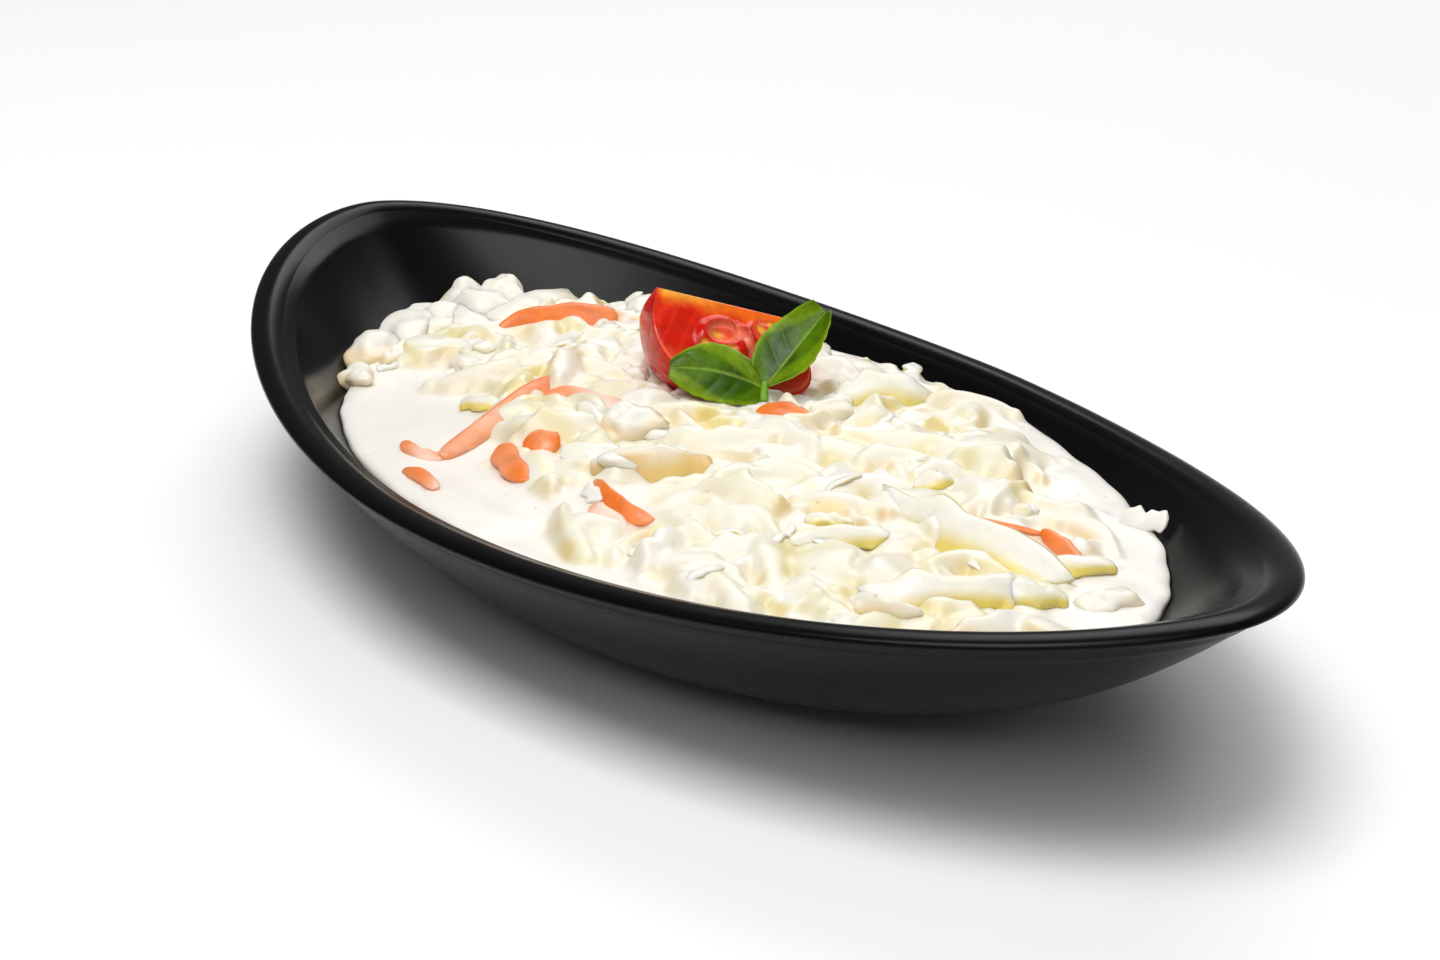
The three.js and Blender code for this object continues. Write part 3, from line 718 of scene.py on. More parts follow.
COATED_SHREDS = shreds(
    Kind.CABBAGE,
    (((47, -22, 1.4), (54, -27, 2.2), (64, -33, 0.2)), 5.2, 0.3),
    (((62, -12, 0.8), (68, -17, 2.4), (73, -21, 0.8)), 5.0, 0.2),
    (((1, -13, 0.8), (5, -10.5, 2.2), (9, -8, 0.9)), 4.4, -0.6),
    (((8, -11, 0.6), (9.5, -5, 1.6), (11, 4, 1.0)), 7.0, -0.5),
    (((52, -16, 1.0), (59, -21, 2.0), (67, -25, 0.3)), 9.5, -0.2),
    (((-10, 44, 0.4), (-4, 46, 2.0), (3, 51, 0.8)), 5.0, -0.3),
    (((10, 25, 0.8), (11, 29, 1.8), (11, 33, 0.8)), 4.8, -0.5),
    (((19, 20, 0.8), (28, 27, 1.6), (37, 33, 0.6)), 7.0, -0.4),
    (((26, -14, 0.6), (26, -5, 1.8), (35, -2, 0.8)), 6.0, -0.4),
    (((18, 2, 0.5), (21, 10, 1.6), (29, 13, 0.6)), 6.5, -0.3),
    (((30, -27, 0.5), (37, -24, 1.4), (42, -29, 0.4)), 5.5, -0.4),
    (((60, 26, 0.3), (68, 29, 1.0), (77, 26, 0.2)), 5.0, -0.3),
    (((-60, 8, 0.6), (-53, 10, 1.4), (-46, 8, 0.6)), 5.0, -0.3),
)


def screen(red: int, green: int, blue: int) -> Array:
    """Field that holds a screen colour as linear red, green and blue."""
    return field(default_factory=lambda: linear(red, green, blue))


@dataclass(frozen=True)
class Palette:
    """Colours of the salad, as linear red, green and blue."""

    cream: Array = screen(242, 238, 230)
    pale: Array = screen(235, 232, 214)
    leafy: Array = screen(230, 224, 186)
    yellow: Array = screen(226, 204, 102)
    olive: Array = screen(196, 186, 112)
    tan: Array = screen(224, 186, 122)
    carrot: Array = screen(238, 122, 36)
    salmon: Array = screen(240, 168, 126)


@dataclass
class HeapMap:
    """Map of the heap's height and colour over a plan grid, on which shreds are pressed."""

    half_x: float = 114.0
    half_y: float = 70.0
    step: float = 0.4
    fill: float = 25.4
    fill_drop: float = 4.0
    dome: float = 3.2
    palette: Palette = field(default_factory=Palette)

    def __post_init__(self) -> None:
        """Lays the plain dressing: fill level, slow waves and small ripples."""
        self.x = np.arange(-self.half_x, self.half_x + self.step / 2, self.step)
        self.y = np.arange(-self.half_y, self.half_y + self.step / 2, self.step)
        self.gx, self.gy = np.meshgrid(self.x, self.y)
        shape = self.gx.shape
        self.calm = self.calmness(self.gx, self.gy)
        level = self.fill_level(self.gx, self.gy)
        slow, quick = drift(shape, self.step, 6.0, 11), drift(shape, self.step, 2.2, 12)
        self.pool = level + (1.0 - 0.8 * self.calm) * (0.50 * slow + 0.25 * quick - 0.8)
        self.height = self.pool.copy()
        self.tint = np.broadcast_to(self.palette.cream, (*shape, 3)).copy()

    def fill_level(self, x: Array, y: Array) -> Array:
        """Level at the wall, lower at the near left end, plus a low dome that sinks in the calm corner.

        Args:
            x: Places along the length.
            y: Places across.

        Returns:
            Heights of the plain dressing.
        """
        level = self.fill - self.fill_drop * smooth_step(30.0, 105.0, -0.93 * x - 0.62 * y)
        bulge = np.clip(1.0 - ((x + 2.0) / 92.0) ** 2 - ((y - 4.0) / 58.0) ** 2, 0.0, None)
        return level + self.dome * bulge - 1.3 * self.corner(x, y) * smooth_step(0.0, 0.25, bulge)

    def corner(self, x: Array, y: Array) -> Array:
        """Share from 0 to 1 of the smooth pool at the near left."""
        near = smooth_step(34.0, 58.0, -0.45 * x - 1.25 * y - 2.0)
        return near * smooth_step(36.0, 8.0, x) * smooth_step(-84.0, -62.0, x)

    def calmness(self, x: Array, y: Array) -> Array:
        """Share from 0 to 1 of smooth dressing without shreds: near left corner and far right edge.

        Args:
            x: Places along the length.
            y: Places across.

        Returns:
            Shares of calm.
        """
        corner = self.corner(x, y)
        rim = np.sqrt((x / 101.0) ** 2 + (y / 58.0) ** 2)
        edge = smooth_step(0.80, 0.92, rim) * smooth_step(-5.0, 20.0, x) * smooth_step(-14.0, 12.0, y)
        return np.maximum(corner, edge)

    def cell(self, x: Array, y: Array, shift: float = 0.0) -> tuple[Array, Array]:
        """Column and row of the cell below a place; a shift of a half gives the nearest one."""
        i, j = (x + self.half_x) / self.step + shift, (y + self.half_y) / self.step + shift
        return np.asarray(i).astype(int), np.asarray(j).astype(int)

    def sample(self, values: Array, x: Array, y: Array) -> Array:
        """Reads a map between its cells, by how near each of the four cells is.

        Args:
            values: Map to read.
            x: Places along the length.
            y: Places across.

        Returns:
            Values at the places.
        """
        fx = np.clip((x + self.half_x) / self.step, 0.0, len(self.x) - 1.001)
        fy = np.clip((y + self.half_y) / self.step, 0.0, len(self.y) - 1.001)
        ix, iy = fx.astype(int), fy.astype(int)
        tx, ty = fx - ix, fy - iy
        if values.ndim == 3:
            tx, ty = tx[..., None], ty[..., None]
        near = values[iy, ix] * (1 - tx) + values[iy, ix + 1] * tx
        far = values[iy + 1, ix] * (1 - tx) + values[iy + 1, ix + 1] * tx
        return near * (1 - ty) + far * ty

    def press(
        self, path: Array, half: Array, bank: float, crown: float, slope: float,
        colour: Array, side: Array, strength: float,
    ) -> None:
        """Raises the map to a coated shred and paints it.

        The top is the path's height plus the bank times the signed distance from the path plus
        a crown; past the shred's edge it falls off at a constant slope.

        Args:
            path: Points along the shred's middle line.
            half: Half width at each point.
            bank: Rise for each millimetre to the left of the path.
            crown: Height of the middle over the edges.
            slope: Fall for each millimetre past the edge.
            colour: Colour of the top.
            side: Colour of the lower edge, which is bare flesh and painted shade.
            strength: How much of the colour shows through the dressing.
        """
        reach = float(half.max()) + 3.0
        lo, hi = path[:, :2].min(0) - reach, path[:, :2].max(0) + reach
        i, j = self.cell(*np.stack([lo, hi], -1))
        i0, i1 = np.clip(i, 0, len(self.x) - 1)
        j0, j1 = np.clip(j, 0, len(self.y) - 1)
        if i1 - i0 < 2 or j1 - j0 < 2:
            return
        dx = self.x[i0:i1][None, :, None] - path[:, 0]
        dy = self.y[j0:j1][:, None, None] - path[:, 1]
        near = (dx * dx + dy * dy).argmin(-1)
        pick = (np.arange(j1 - j0)[:, None], np.arange(i1 - i0)[None, :], near)
        shape = (j1 - j0, i1 - i0, len(path))
        dx, dy = np.broadcast_to(dx, shape)[pick], np.broadcast_to(dy, shape)[pick]
        run = unit(np.gradient(path[:, :2], axis=0))[near]
        across = run[..., 0] * dy - run[..., 1] * dx
        h = half[near]
        past = np.clip(np.hypot(dx, dy) - h, 0.0, None)
        inner = np.clip(np.abs(across) / h, 0.0, 1.0)
        top = path[near, 2] + bank * np.clip(across, -h, h) + crown * (1.0 - inner**2) - slope * past
        window = (slice(j0, j1), slice(i0, i1))
        old = self.height[window]
        new = smooth_max(top, old, 0.35)
        show = smooth_step(-0.15, 0.35, top - old) * smooth_step(0.9, 0.1, past) * strength
        # Painted shade with bare flesh: the edge that the bank lowers takes the side colour.
        low = smooth_step(0.25, 1.0, -np.sign(bank) * across / h)
        self.tint[window] = mix(self.tint[window], mix(colour, side, low), show)
        self.height[window] = new

    def settle(self) -> None:
        """Softens the pressed map, keeps the pools full, and paints shade into hollows and on steep sides,
        with yellow to tan patches there that are bare flesh and painted shade in one.
        """
        soft = gauss(self.height, self.step, 0.48)
        self.height = smooth_max(soft, self.pool, 0.5)
        for channel in range(3):
            self.tint[..., channel] = gauss(self.tint[..., channel], self.step, 0.7)
        # Painted shade: hollows darker and warmer in colour.
        deep = smooth_step(0.1, 1.3, gauss(self.height, self.step, 2.4) - self.height)
        self.tint = mix(self.tint, self.tint * np.array([0.93, 0.89, 0.77]), deep * 0.75)
        rise_y, rise_x = np.gradient(gauss(self.height, self.step, 0.5), self.step)
        steep = smooth_step(0.35, 1.0, np.hypot(rise_x, rise_y))
        patch = smooth_step(0.1, 1.1, drift(self.height.shape, self.step, 3.4, 21))
        warm = smooth_step(-0.6, 0.6, drift(self.height.shape, self.step, 5.0, 22))
        flesh = mix(self.palette.yellow, self.palette.tan, warm)
        # Painted shade: steep sides a little darker and warmer.
        self.tint = mix(self.tint, self.tint * np.array([0.98, 0.955, 0.87]), steep * 0.8)
        # Yellow to tan patches on steep sides: bare flesh and painted shade.
        self.tint = mix(self.tint, flesh, steep * patch * (1.0 - self.calm) * 0.62)
        stain = smooth_step(0.9, 1.9, drift(self.height.shape, self.step, 2.6, 23))
        stain = stain * smooth_step(0.05, 0.3, np.hypot(rise_x, rise_y))
        self.tint = mix(self.tint, self.palette.yellow, stain * (1.0 - self.calm) * 0.38)


@dataclass(frozen=True)
class Lump:
    """One rounded clump of coated salad by its place, rise over the fill, half sizes, and the share of tan
    to yellow on its lower part, which is bare flesh and painted shade.
    """

    place: Pair
    rise: float
    radii: Triple
    heading: float = 0.0
    kind: Kind = Kind.CABBAGE
    shade: float = 0.4


LUMPS = (
    Lump((-98.0, 6.5), 2.4, (5.0, 4.4, 4.6), 0.1),
    Lump((-95.0, 14.0), 2.2, (5.2, 4.4, 4.6), -0.2),
    Lump((-91.5, 9.5), 0.9, (8.0, 7.0, 4.0), 0.3),
    Lump((-85.0, 12.0), 0.2, (8.0, 6.0, 3.0), 0.9),
    Lump((-97.0, -1.5), 0.4, (8.0, 5.6, 3.6), 0.5, Kind.RIB, 0.35),
    Lump((-90.0, -3.0), -0.3, (9.0, 6.0, 2.8), 0.6),
    Lump((-85.0, 1.0), -0.2, (6.0, 5.0, 2.4), 0.2),
    Lump((-94.5, -10.5), -0.4, (7.6, 5.6, 3.2), -0.8, Kind.RIB, 0.4),
    Lump((-88.0, -12.0), -0.8, (8.0, 5.0, 2.4), -0.5),
    Lump((-86.0, -22.5), 0.2, (7.5, 4.6, 3.2), -0.6, Kind.RIB, 0.6),
    Lump((-72.0, -33.0), 0.0, (4.4, 3.2, 2.2), -0.4, Kind.RIB, 0.5),
    Lump((-58.0, 37.5), 0.2, (4.4, 2.4, 2.4), 0.4, Kind.RIB, 0.3),
    Lump((-76.0, 31.0), -0.2, (4.6, 3.0, 2.0), 0.5),
    Lump((-6.6, -16.0), 0.4, (3.9, 3.4, 4.4), 0.93, Kind.RIB, 0.6),
    Lump((-1.0, -11.6), -0.8, (4.2, 2.6, 2.6), 0.93, Kind.CABBAGE, 0.5),
    Lump((10.5, -21.5), -1.0, (8.0, 4.6, 4.2), 1.23, Kind.RIB, 1.0),
    Lump((11.6, -26.6), 3.0, (3.6, 2.0, 1.7), 1.2, Kind.CABBAGE, 0.2),
    Lump((3.0, 23.0), 0.4, (3.4, 2.6, 2.8), 1.0),
    Lump((0.5, 28.0), 0.2, (2.8, 2.4, 2.4), 0.4),
    Lump((-14.0, 40.5), -0.4, (8.0, 5.6, 3.4), 0.9, Kind.RIB, 0.25),
    Lump((-12.0, 49.5), -0.6, (5.6, 2.8, 2.6), 0.5),
    Lump((-27.0, 45.0), -0.4, (3.6, 2.2, 3.0), 0.2),
    Lump((90.0, 12.5), -0.6, (4.8, 3.8, 2.6), 1.2, Kind.RIB, 0.4),
    Lump((73.0, -22.0), -0.8, (5.0, 3.0, 2.8), 0.6, Kind.RIB, 0.6),
)


def tapered(widest: float, t: Array, share: float = 0.4) -> Array:
    """Half width that narrows to both ends by a share of the cube of t, which runs from -1 to 1."""
    return widest * (1.0 - share * np.abs(t) ** 3)


@dataclass
class Heap:
    """Heaped salad: dressing over coated shreds, clumps and bare shreds, out to the bowl's wall."""

    bowl: Bowl
    map: HeapMap = field(default_factory=HeapMap)
    coated_count: int = 640
    strewn_count: int = 26
    clump_count: int = 44
    columns: int = 392
    rows: int = 210
    edge_drop: float = 1.4
    edge_reach: float = 2.8
    seed: int = 4117
    around: int = 12
    placed_points: int = 26
    cabbage_jag: float = 0.38
    carrot_jag: float = 0.16
    lump_rows: int = 22
    lump_columns: int = 32
    lump_seed: int = 5200
    ribbon_seed: int = 9000
    placed_seed: int = 300
    strewn_seed: int = 700
    wall_gap: float = 0.1
    lump_sink: float = 0.6
    strewn: list[Ribbon] = field(default_factory=list)
    dressing: CreamDressing = field(default_factory=CreamDressing)
    cabbage: Flesh = CABBAGE_FLESH
    carrot: Flesh = CARROT_FLESH

    def random_paths(self, count: int, seed: int, lengths: Pair, calm_limit: float) -> list[Array]:
        """Seeded curved plan paths over the heap.

        Args:
            count: Number of paths.
            seed: Seed of the draws.
            lengths: Shortest and longest path.
            calm_limit: Paths start only where the dressing is less calm than this.

        Returns:
            Arrays of plan points: a straight heading that turns evenly along the length.
        """
        draw = np.random.default_rng(seed)
        paths: list[Array] = []
        while len(paths) < count:
            x, y = draw.uniform(-100, 100), draw.uniform(-57, 57)
            inside = (x / 99.0) ** 2 + (y / 54.0) ** 2 < 0.93
            length, heading = draw.uniform(*lengths), draw.uniform(0.0, math.tau)
            bend = draw.normal(0.0, 0.55)
            calm = self.map.calmness(x, y)
            if not inside or calm > calm_limit * draw.uniform(0.4, 1.0):
                continue
            t = np.linspace(-0.5, 0.5, 18)
            turn = heading + bend * t
            step = length / 17.0
            plan = np.stack([np.cumsum(np.cos(turn)), np.cumsum(np.sin(turn))], -1) * step
            paths.append(plan - plan.mean(0) + [x, y])
        return paths

    def tilted(self, plan: Array, bank: float, chance: float) -> float:
        """Turns most shreds so that they face out and forward, as coated shreds slide down a heap.

        Args:
            plan: Plan points of the shred.
            bank: Rise across the shred, positive to the left of its path in the map.
            chance: Draw from 0 to 1; below four fifths the turn is forced outwards.

        Returns:
            The rise with its sign chosen.
        """
        run = unit(plan[-1] - plan[0])
        outward = unit(np.array([0.75, -0.56]) + 0.004 * plan.mean(0))
        left = float(-run[1] * outward[0] + run[0] * outward[1])
        return -math.copysign(abs(bank), left) if chance < 0.8 else bank

    def press_seeded(self, draw: np.random.Generator) -> None:
        """Presses the seeded coated shreds: thin strands, and broad pieces with a yellowish edge; the lower
        edges are bare flesh and painted shade.

        Args:
            draw: Generator of the draws.
        """
        colours = self.map.palette
        # Colours of the lower edges: bare flesh and painted shade.
        edges = (colours.yellow, colours.leafy, colours.tan, colours.olive)
        for plan in self.random_paths(self.coated_count, self.seed + 1, (4.0, 15.0), 0.75):
            t = np.linspace(-1.0, 1.0, len(plan))
            lumpy = smooth_step(-55.0, -75.0, plan[:, 0])
            lift = draw.uniform(-1.1, 1.5) + lumpy * draw.uniform(0.0, 1.4) + (draw.uniform() > 0.80) * 1.2
            calm = self.map.calmness(plan[:, 0], plan[:, 1])
            level = self.map.fill_level(plan[:, 0], plan[:, 1])
            z = level + lift - draw.uniform(0.2, 1.2) * t * t - 1.2 * calm
            z = z + draw.normal(0.0, 0.35) * t
            uneven = 1.0 + 0.35 * np.interp(t, np.linspace(-1, 1, 6), draw.uniform(-1, 1, 6))
            strand = draw.uniform() < 0.45
            crown = draw.uniform(0.5, 1.3) if strand else draw.uniform(0.2, 1.5) ** 2
            widest = draw.uniform(0.7, 1.5) if strand else draw.uniform(2.0, 4.6)
            top = mix(colours.pale, colours.leafy, draw.uniform(0.0, 1.0))
            edge = edges[int(draw.integers(0, 4))]
            shown = draw.uniform(0.0, 0.8) ** 1.5
            bank = self.tilted(plan, draw.normal(0.0, 0.34), draw.uniform())
            half = tapered(widest, t, 0.45) * uneven
            self.map.press(np.column_stack([plan, z]), half, bank, crown, 2.4, top, edge, shown)

    def quiet_marked(self) -> None:
        """Lowers the map to the pool's level under each placed shred and clump, so that it shows."""
        marked = np.zeros_like(self.map.height)
        for shred in CABBAGE_SHREDS + CARROT_SHREDS:
            i, j = self.map.cell(*self.placed_path(shred, 40)[:, :2].T)
            marked[j, i] = 1.0
        for lump in LUMPS:
            i, j = self.map.cell(*lump.place)
            marked[j - 5:j + 6, i - 5:i + 6] = 1.0
        quiet = np.clip(gauss(marked, self.map.step, 1.6) * 8.0, 0.0, 1.0) * 0.7
        self.map.height += quiet * np.minimum(self.map.pool - self.map.height, 0.0)

    def press_placed(self, draw: np.random.Generator, cream_like: Array) -> None:
        """Presses a bed under each placed shred, the placed coated shreds and a mound at each clump.

        Args:
            draw: Generator of the draws.
            cream_like: Colour of the coated clumps.
        """
        colours = self.map.palette
        for shred in CABBAGE_SHREDS + CARROT_SHREDS:
            path = self.placed_path(shred, 24)
            path[:, 2] -= 0.24 * shred.thickness
            half = tapered(shred.width * 0.46, np.linspace(-1.0, 1.0, len(path)))
            warm = colours.salmon if shred.kind is Kind.CARROT else colours.pale
            self.map.press(path, half, -0.8 * math.tan(shred.bank), 0.1, 1.6, warm, warm, 0.45)
        for order, shred in enumerate(COATED_SHREDS):
            path = self.placed_path(shred, 24)
            t = np.linspace(-1.0, 1.0, len(path))
            uneven = 1.0 + 0.22 * np.interp(t, np.linspace(-1, 1, 6), draw.uniform(-1, 1, 6))
            half = tapered(0.5 * shred.width, t) * uneven
            # Colours of the lower edges: bare flesh and painted shade.
            side = (colours.yellow, colours.leafy, colours.tan)[order % 3]
            self.map.press(path, half, -math.tan(shred.bank), 0.5, 2.6, colours.pale, side, 0.75)
        for lump in LUMPS:
            reach = max(lump.radii[0] - lump.radii[1], 0.3)
            run = [math.cos(lump.heading), math.sin(lump.heading)]
            line = np.outer(np.linspace(-1.0, 1.0, 9), run) * reach + lump.place
            top = self.map.fill_level(line[:, 0], line[:, 1]) + lump.rise + 0.22 * lump.radii[2]
            half = np.full(9, 0.80 * lump.radii[1])
            # Rib clumps tint their mound tan: bare rib flesh and painted shade.
            tone = mix(cream_like, colours.tan, 0.55 * lump.shade if lump.kind is Kind.RIB else 0.0)
            self.map.press(np.column_stack([line, top]), half, 0.0, 0.2, 1.3, tone, tone, 0.8)

    def strew(self, cream_like: Array) -> None:
        """Lays the seeded strewn shreds clear of the carrots and clumps, each on a pressed bed.

        Args:
            cream_like: Colour of the beds.
        """
        draw = np.random.default_rng(self.seed + 7)
        carrots = np.concatenate([self.placed_path(shred, 12)[:, :2] for shred in CARROT_SHREDS])
        for order, plan in enumerate(self.random_paths(self.strewn_count, self.seed + 8, (5.0, 15.0), 0.5)):
            gap = np.linalg.norm(plan[:, None] - carrots[None], axis=-1).min()
            clear = min(np.linalg.norm(plan - lump.place, axis=-1).min() - lump.radii[0] for lump in LUMPS)
            if gap < 4.5 or clear < 0.8:
                continue
            t = np.linspace(-1.0, 1.0, len(plan))
            z = self.map.sample(self.map.height, plan[:, 0], plan[:, 1])
            z = 0.6 * z + 0.4 * z.mean() + draw.uniform(-0.5, 0.25) - draw.uniform(0.2, 0.9) * t * t
            path = np.column_stack([plan, z])
            bank = self.tilted(plan, draw.normal(0.0, 0.30), draw.uniform())
            width, thickness = draw.uniform(2.0, 4.0), draw.uniform(0.8, 1.3)
            coat, seed = draw.uniform(0.3, 0.9), self.strewn_seed + order
            colours = self.shred_colours(Kind.CABBAGE, coat, len(plan), seed, bank)
            self.strewn.append((path, width, thickness, bank, colours))
            bed = path - np.array([0.0, 0.0, 0.16 * thickness])
            half = tapered(width * 0.46, t)
            self.map.press(bed, half, -math.tan(bank) * 0.9, 0.0, 1.5, cream_like, cream_like, 0.3)

    def press_shreds(self) -> None:
        """Presses every coated shred and a bed under each placed one into the map."""
        cream_like = mix(self.map.palette.cream, self.map.palette.pale, 0.4)
        draw = np.random.default_rng(self.seed)
        self.press_seeded(draw)
        self.quiet_marked()
        self.press_placed(draw, cream_like)
        self.strew(cream_like)
        self.map.settle()

    def placed_path(self, shred: Shred, count: int) -> Array:
        """Smooth middle line of a placed shred, its height measured from the fill level.

        Args:
            shred: The shred.
            count: Number of points.

        Returns:
            Points along the shred.
        """
        path = curve_through(np.array(shred.plan, float), count)
        path[:, 2] += self.map.fill_level(path[:, 0], path[:, 1])
        return path

    def shore(self, angle: Array) -> tuple[Array, Array]:
        """Line where the dressing meets the inner wall, found by halving the way up the wall.

        Args:
            angle: Angles round the bowl.

        Returns:
            Points on the line, and the way up the wall at each.
        """
        wander = 0.22 * np.sin(9 * angle + 1.0) + 0.16 * np.sin(23 * angle + 2.0)
        wander = wander + 0.10 * np.sin(51 * angle)
        low, high = np.zeros_like(angle), np.ones_like(angle)
        for _ in range(32):
            middle = 0.5 * (low + high)
            wall = self.bowl.inner_wall(angle, middle, self.wall_gap)
            above = wall[:, 2] > self.map.fill_level(wall[:, 0], wall[:, 1]) - self.edge_drop + wander
            high, low = np.where(above, middle, high), np.where(above, low, middle)
        return self.bowl.inner_wall(angle, low, self.wall_gap), low

    def build_dressing(self) -> Piece:
        """Dressed surface on a grid squeezed into the shore line, closed along the wall below.

        A square grid becomes a disc by u times the root of one less half v squared, and the
        same for v; each disc point is then that share of the shore point at its own angle.

        Returns:
            The dressing.
        """
        angle = np.linspace(-math.pi, math.pi, 2049)
        line, way = self.shore(angle)
        run = unit(np.gradient(line[:, :2], axis=0))
        lean = np.abs(line[:, 0] * run[:, 1] - line[:, 1] * run[:, 0])
        u, v = np.meshgrid(np.linspace(-1, 1, self.columns), np.linspace(-1, 1, self.rows))
        dx, dy = u * np.sqrt(1.0 - v * v / 2.0), v * np.sqrt(1.0 - u * u / 2.0)
        share, heading = np.hypot(dx, dy), np.arctan2(dy, dx)
        at = [np.interp(heading, angle, column) for column in (line[:, 0], line[:, 1], line[:, 2], lean)]
        x, y = share * at[0], share * at[1]
        inset = (1.0 - share) * at[3]
        curl = np.clip(1.0 - inset / self.edge_reach, 0.0, 1.0)
        z = self.map.sample(self.map.height, x, y) - self.edge_drop * (1.0 - np.sqrt(1.0 - curl**2))
        rim_gap = at[2] - (self.map.sample(self.map.height, at[0], at[1]) - self.edge_drop)
        z = z + rim_gap * np.exp(-inset / 1.4)
        points = np.stack([x, y, z], -1).reshape(-1, 3)
        ring = border(self.rows, self.columns)
        around = heading.reshape(-1)[ring]
        climb = np.interp(around, angle, way)
        count = len(points)
        skirt = [self.bowl.inner_wall(around, climb * k, 0.12) for k in (0.92, 0.72, 0.45, 0.15)]
        skirt[0][:, 2] = np.minimum(skirt[0][:, 2], points[ring][:, 2] - 0.4)
        loops = [ring] + [count + i * len(ring) + np.arange(len(ring)) for i in range(len(skirt))]
        points = np.concatenate([points, *skirt, [[0.0, 0.0, 6.4]]])
        parts = [grid_triangles(self.rows, self.columns)]
        parts += [band_triangles(upper, lower) for upper, lower in zip(loops[:-1], loops[1:])]
        parts.append(fan_triangles(loops[-1][::-1], len(points) - 1))
        tint = np.tile(self.map.palette.cream, (len(points), 1))
        tint[:count] = self.map.sample(self.map.tint, x, y).reshape(-1, 3)
        material = self.dressing.material()
        return put_mesh("coleslaw_dressing", points, np.concatenate(parts), material, tint)

    def ribbon(self, order: int, shred: Ribbon, jag: float) -> Part:
        """Closed curved shred: a rounded flat section carried along its path and turned about it.

        Args:
            order: Number of the shred, which seeds its draws.
            shred: Path, width, thickness, bank and point colours.
            jag: Share by which each side's width strays from the even one.

        Returns:
            Points, triangles and tint.
        """
        path, width, thickness, bank, colours = shred
        turn = np.arange(self.around) / self.around * math.tau
        flat, thick = (np.sign(wave) * np.abs(wave) ** 0.7 for wave in (np.cos(turn), np.sin(turn)))
        draw = np.random.default_rng(self.ribbon_seed + order)
        t = np.linspace(-1.0, 1.0, len(path))
        run = unit(np.gradient(path, axis=0))
        up = unit(np.array([0.0, 0.0, 1.0]) - run * run[:, 2:3])
        side = np.cross(run, up)
        twist = (bank * (1.0 - 0.3 * t) + draw.normal(0.0, 0.12) * t)[:, None]
        a = side * np.cos(twist) + up * np.sin(twist)
        b = up * np.cos(twist) - side * np.sin(twist)
        knots = np.linspace(-1.0, 1.0, 8)
        left, right = (1.0 + jag * np.interp(t, knots, draw.uniform(-1.0, 1.0, 8)) for _ in range(2))
        taper = 1.0 - (0.2 if width > 7.0 else 0.5) * np.abs(t) ** draw.uniform(3.0, 7.0)
        half = 0.5 * width * taper
        cup = draw.uniform(-0.12, 0.20) * half
        across = np.where(flat > 0.0, flat * left[:, None], flat * right[:, None]) * half[:, None]
        slant = draw.uniform(-0.9, 0.9) * across * (t**3)[:, None]
        body = path[:, None] + a[:, None] * across[..., None] + run[:, None] * slant[..., None]
        edge = thickness * 0.5 * (1.0 - 0.45 * np.abs(flat) ** 2.5) * (0.5 + 0.5 * taper)[:, None]
        lift = thick * edge + cup[:, None] * (flat**2 - 0.4)
        body = body + b[:, None] * lift[..., None]
        ends = [path[0] - run[0] * 0.25 * thickness, path[-1] + run[-1] * 0.25 * thickness]
        paint = np.concatenate([colours.reshape(-1, 3), colours[[0, -1]].mean(1)])
        points = np.concatenate([body.reshape(-1, 3), ends])
        return points, capped_triangles(len(path), self.around), paint

    def small_lumps(self) -> tuple[Lump, ...]:
        """Seeded small clumps, half sunk: many at the far left and a few over the rest.

        Returns:
            The clumps.
        """
        draw = np.random.default_rng(self.seed + 31)
        busy = [self.placed_path(shred, 9)[:, :2] for shred in CABBAGE_SHREDS + CARROT_SHREDS]
        busy = np.concatenate(busy + [np.array([lump.place for lump in LUMPS])])
        clumps: list[Lump] = []
        while len(clumps) < self.clump_count:
            angle, share = draw.uniform(-math.pi, math.pi), math.sqrt(draw.uniform(0.0, 0.9))
            x, y = 101.0 * share * math.cos(angle), 55.0 * share * math.sin(angle)
            far_left = smooth_step(-35.0, -88.0, x - 0.3 * y)
            calm = self.map.calmness(x, y)
            if draw.uniform() > 0.12 + far_left or calm > 0.4 or np.hypot(*(busy - [x, y]).T).min() < 3.6:
                continue
            size = draw.uniform(1.3, 2.6) * (1.0 + 0.3 * far_left)
            radii = tuple(size * draw.uniform(*span) for span in ((1.0, 1.9), (0.7, 1.0), (0.5, 0.9)))
            kind = Kind.RIB if draw.uniform() < 0.3 else Kind.CABBAGE
            spans = ((-0.6, 0.5), (0.0, math.pi), (0.0, 0.8))
            rise, heading, shade = (draw.uniform(*span) for span in spans)
            clumps.append(Lump((x, y), rise, radii, heading, kind, shade))
        return tuple(clumps)

    def wall_map(self) -> Array:
        """Height of the bowl's inner wall over the plan grid, and 0 away from the wall.

        Returns:
            A map on the same grid as the heap's.
        """
        grid = self.map
        angle = (np.arange(3600) + 0.5) / 3600.0 * math.tau
        heights = np.zeros_like(grid.height)
        for s in np.linspace(0.2, 0.95, 450):
            x, y, z = self.bowl.inner_wall(angle, float(s)).T
            i, j = grid.cell(x, y, 0.5)
            inside = (i >= 0) & (i < len(grid.x)) & (j >= 0) & (j < len(grid.y))
            heights[j[inside], i[inside]] = z[inside]
        return heights

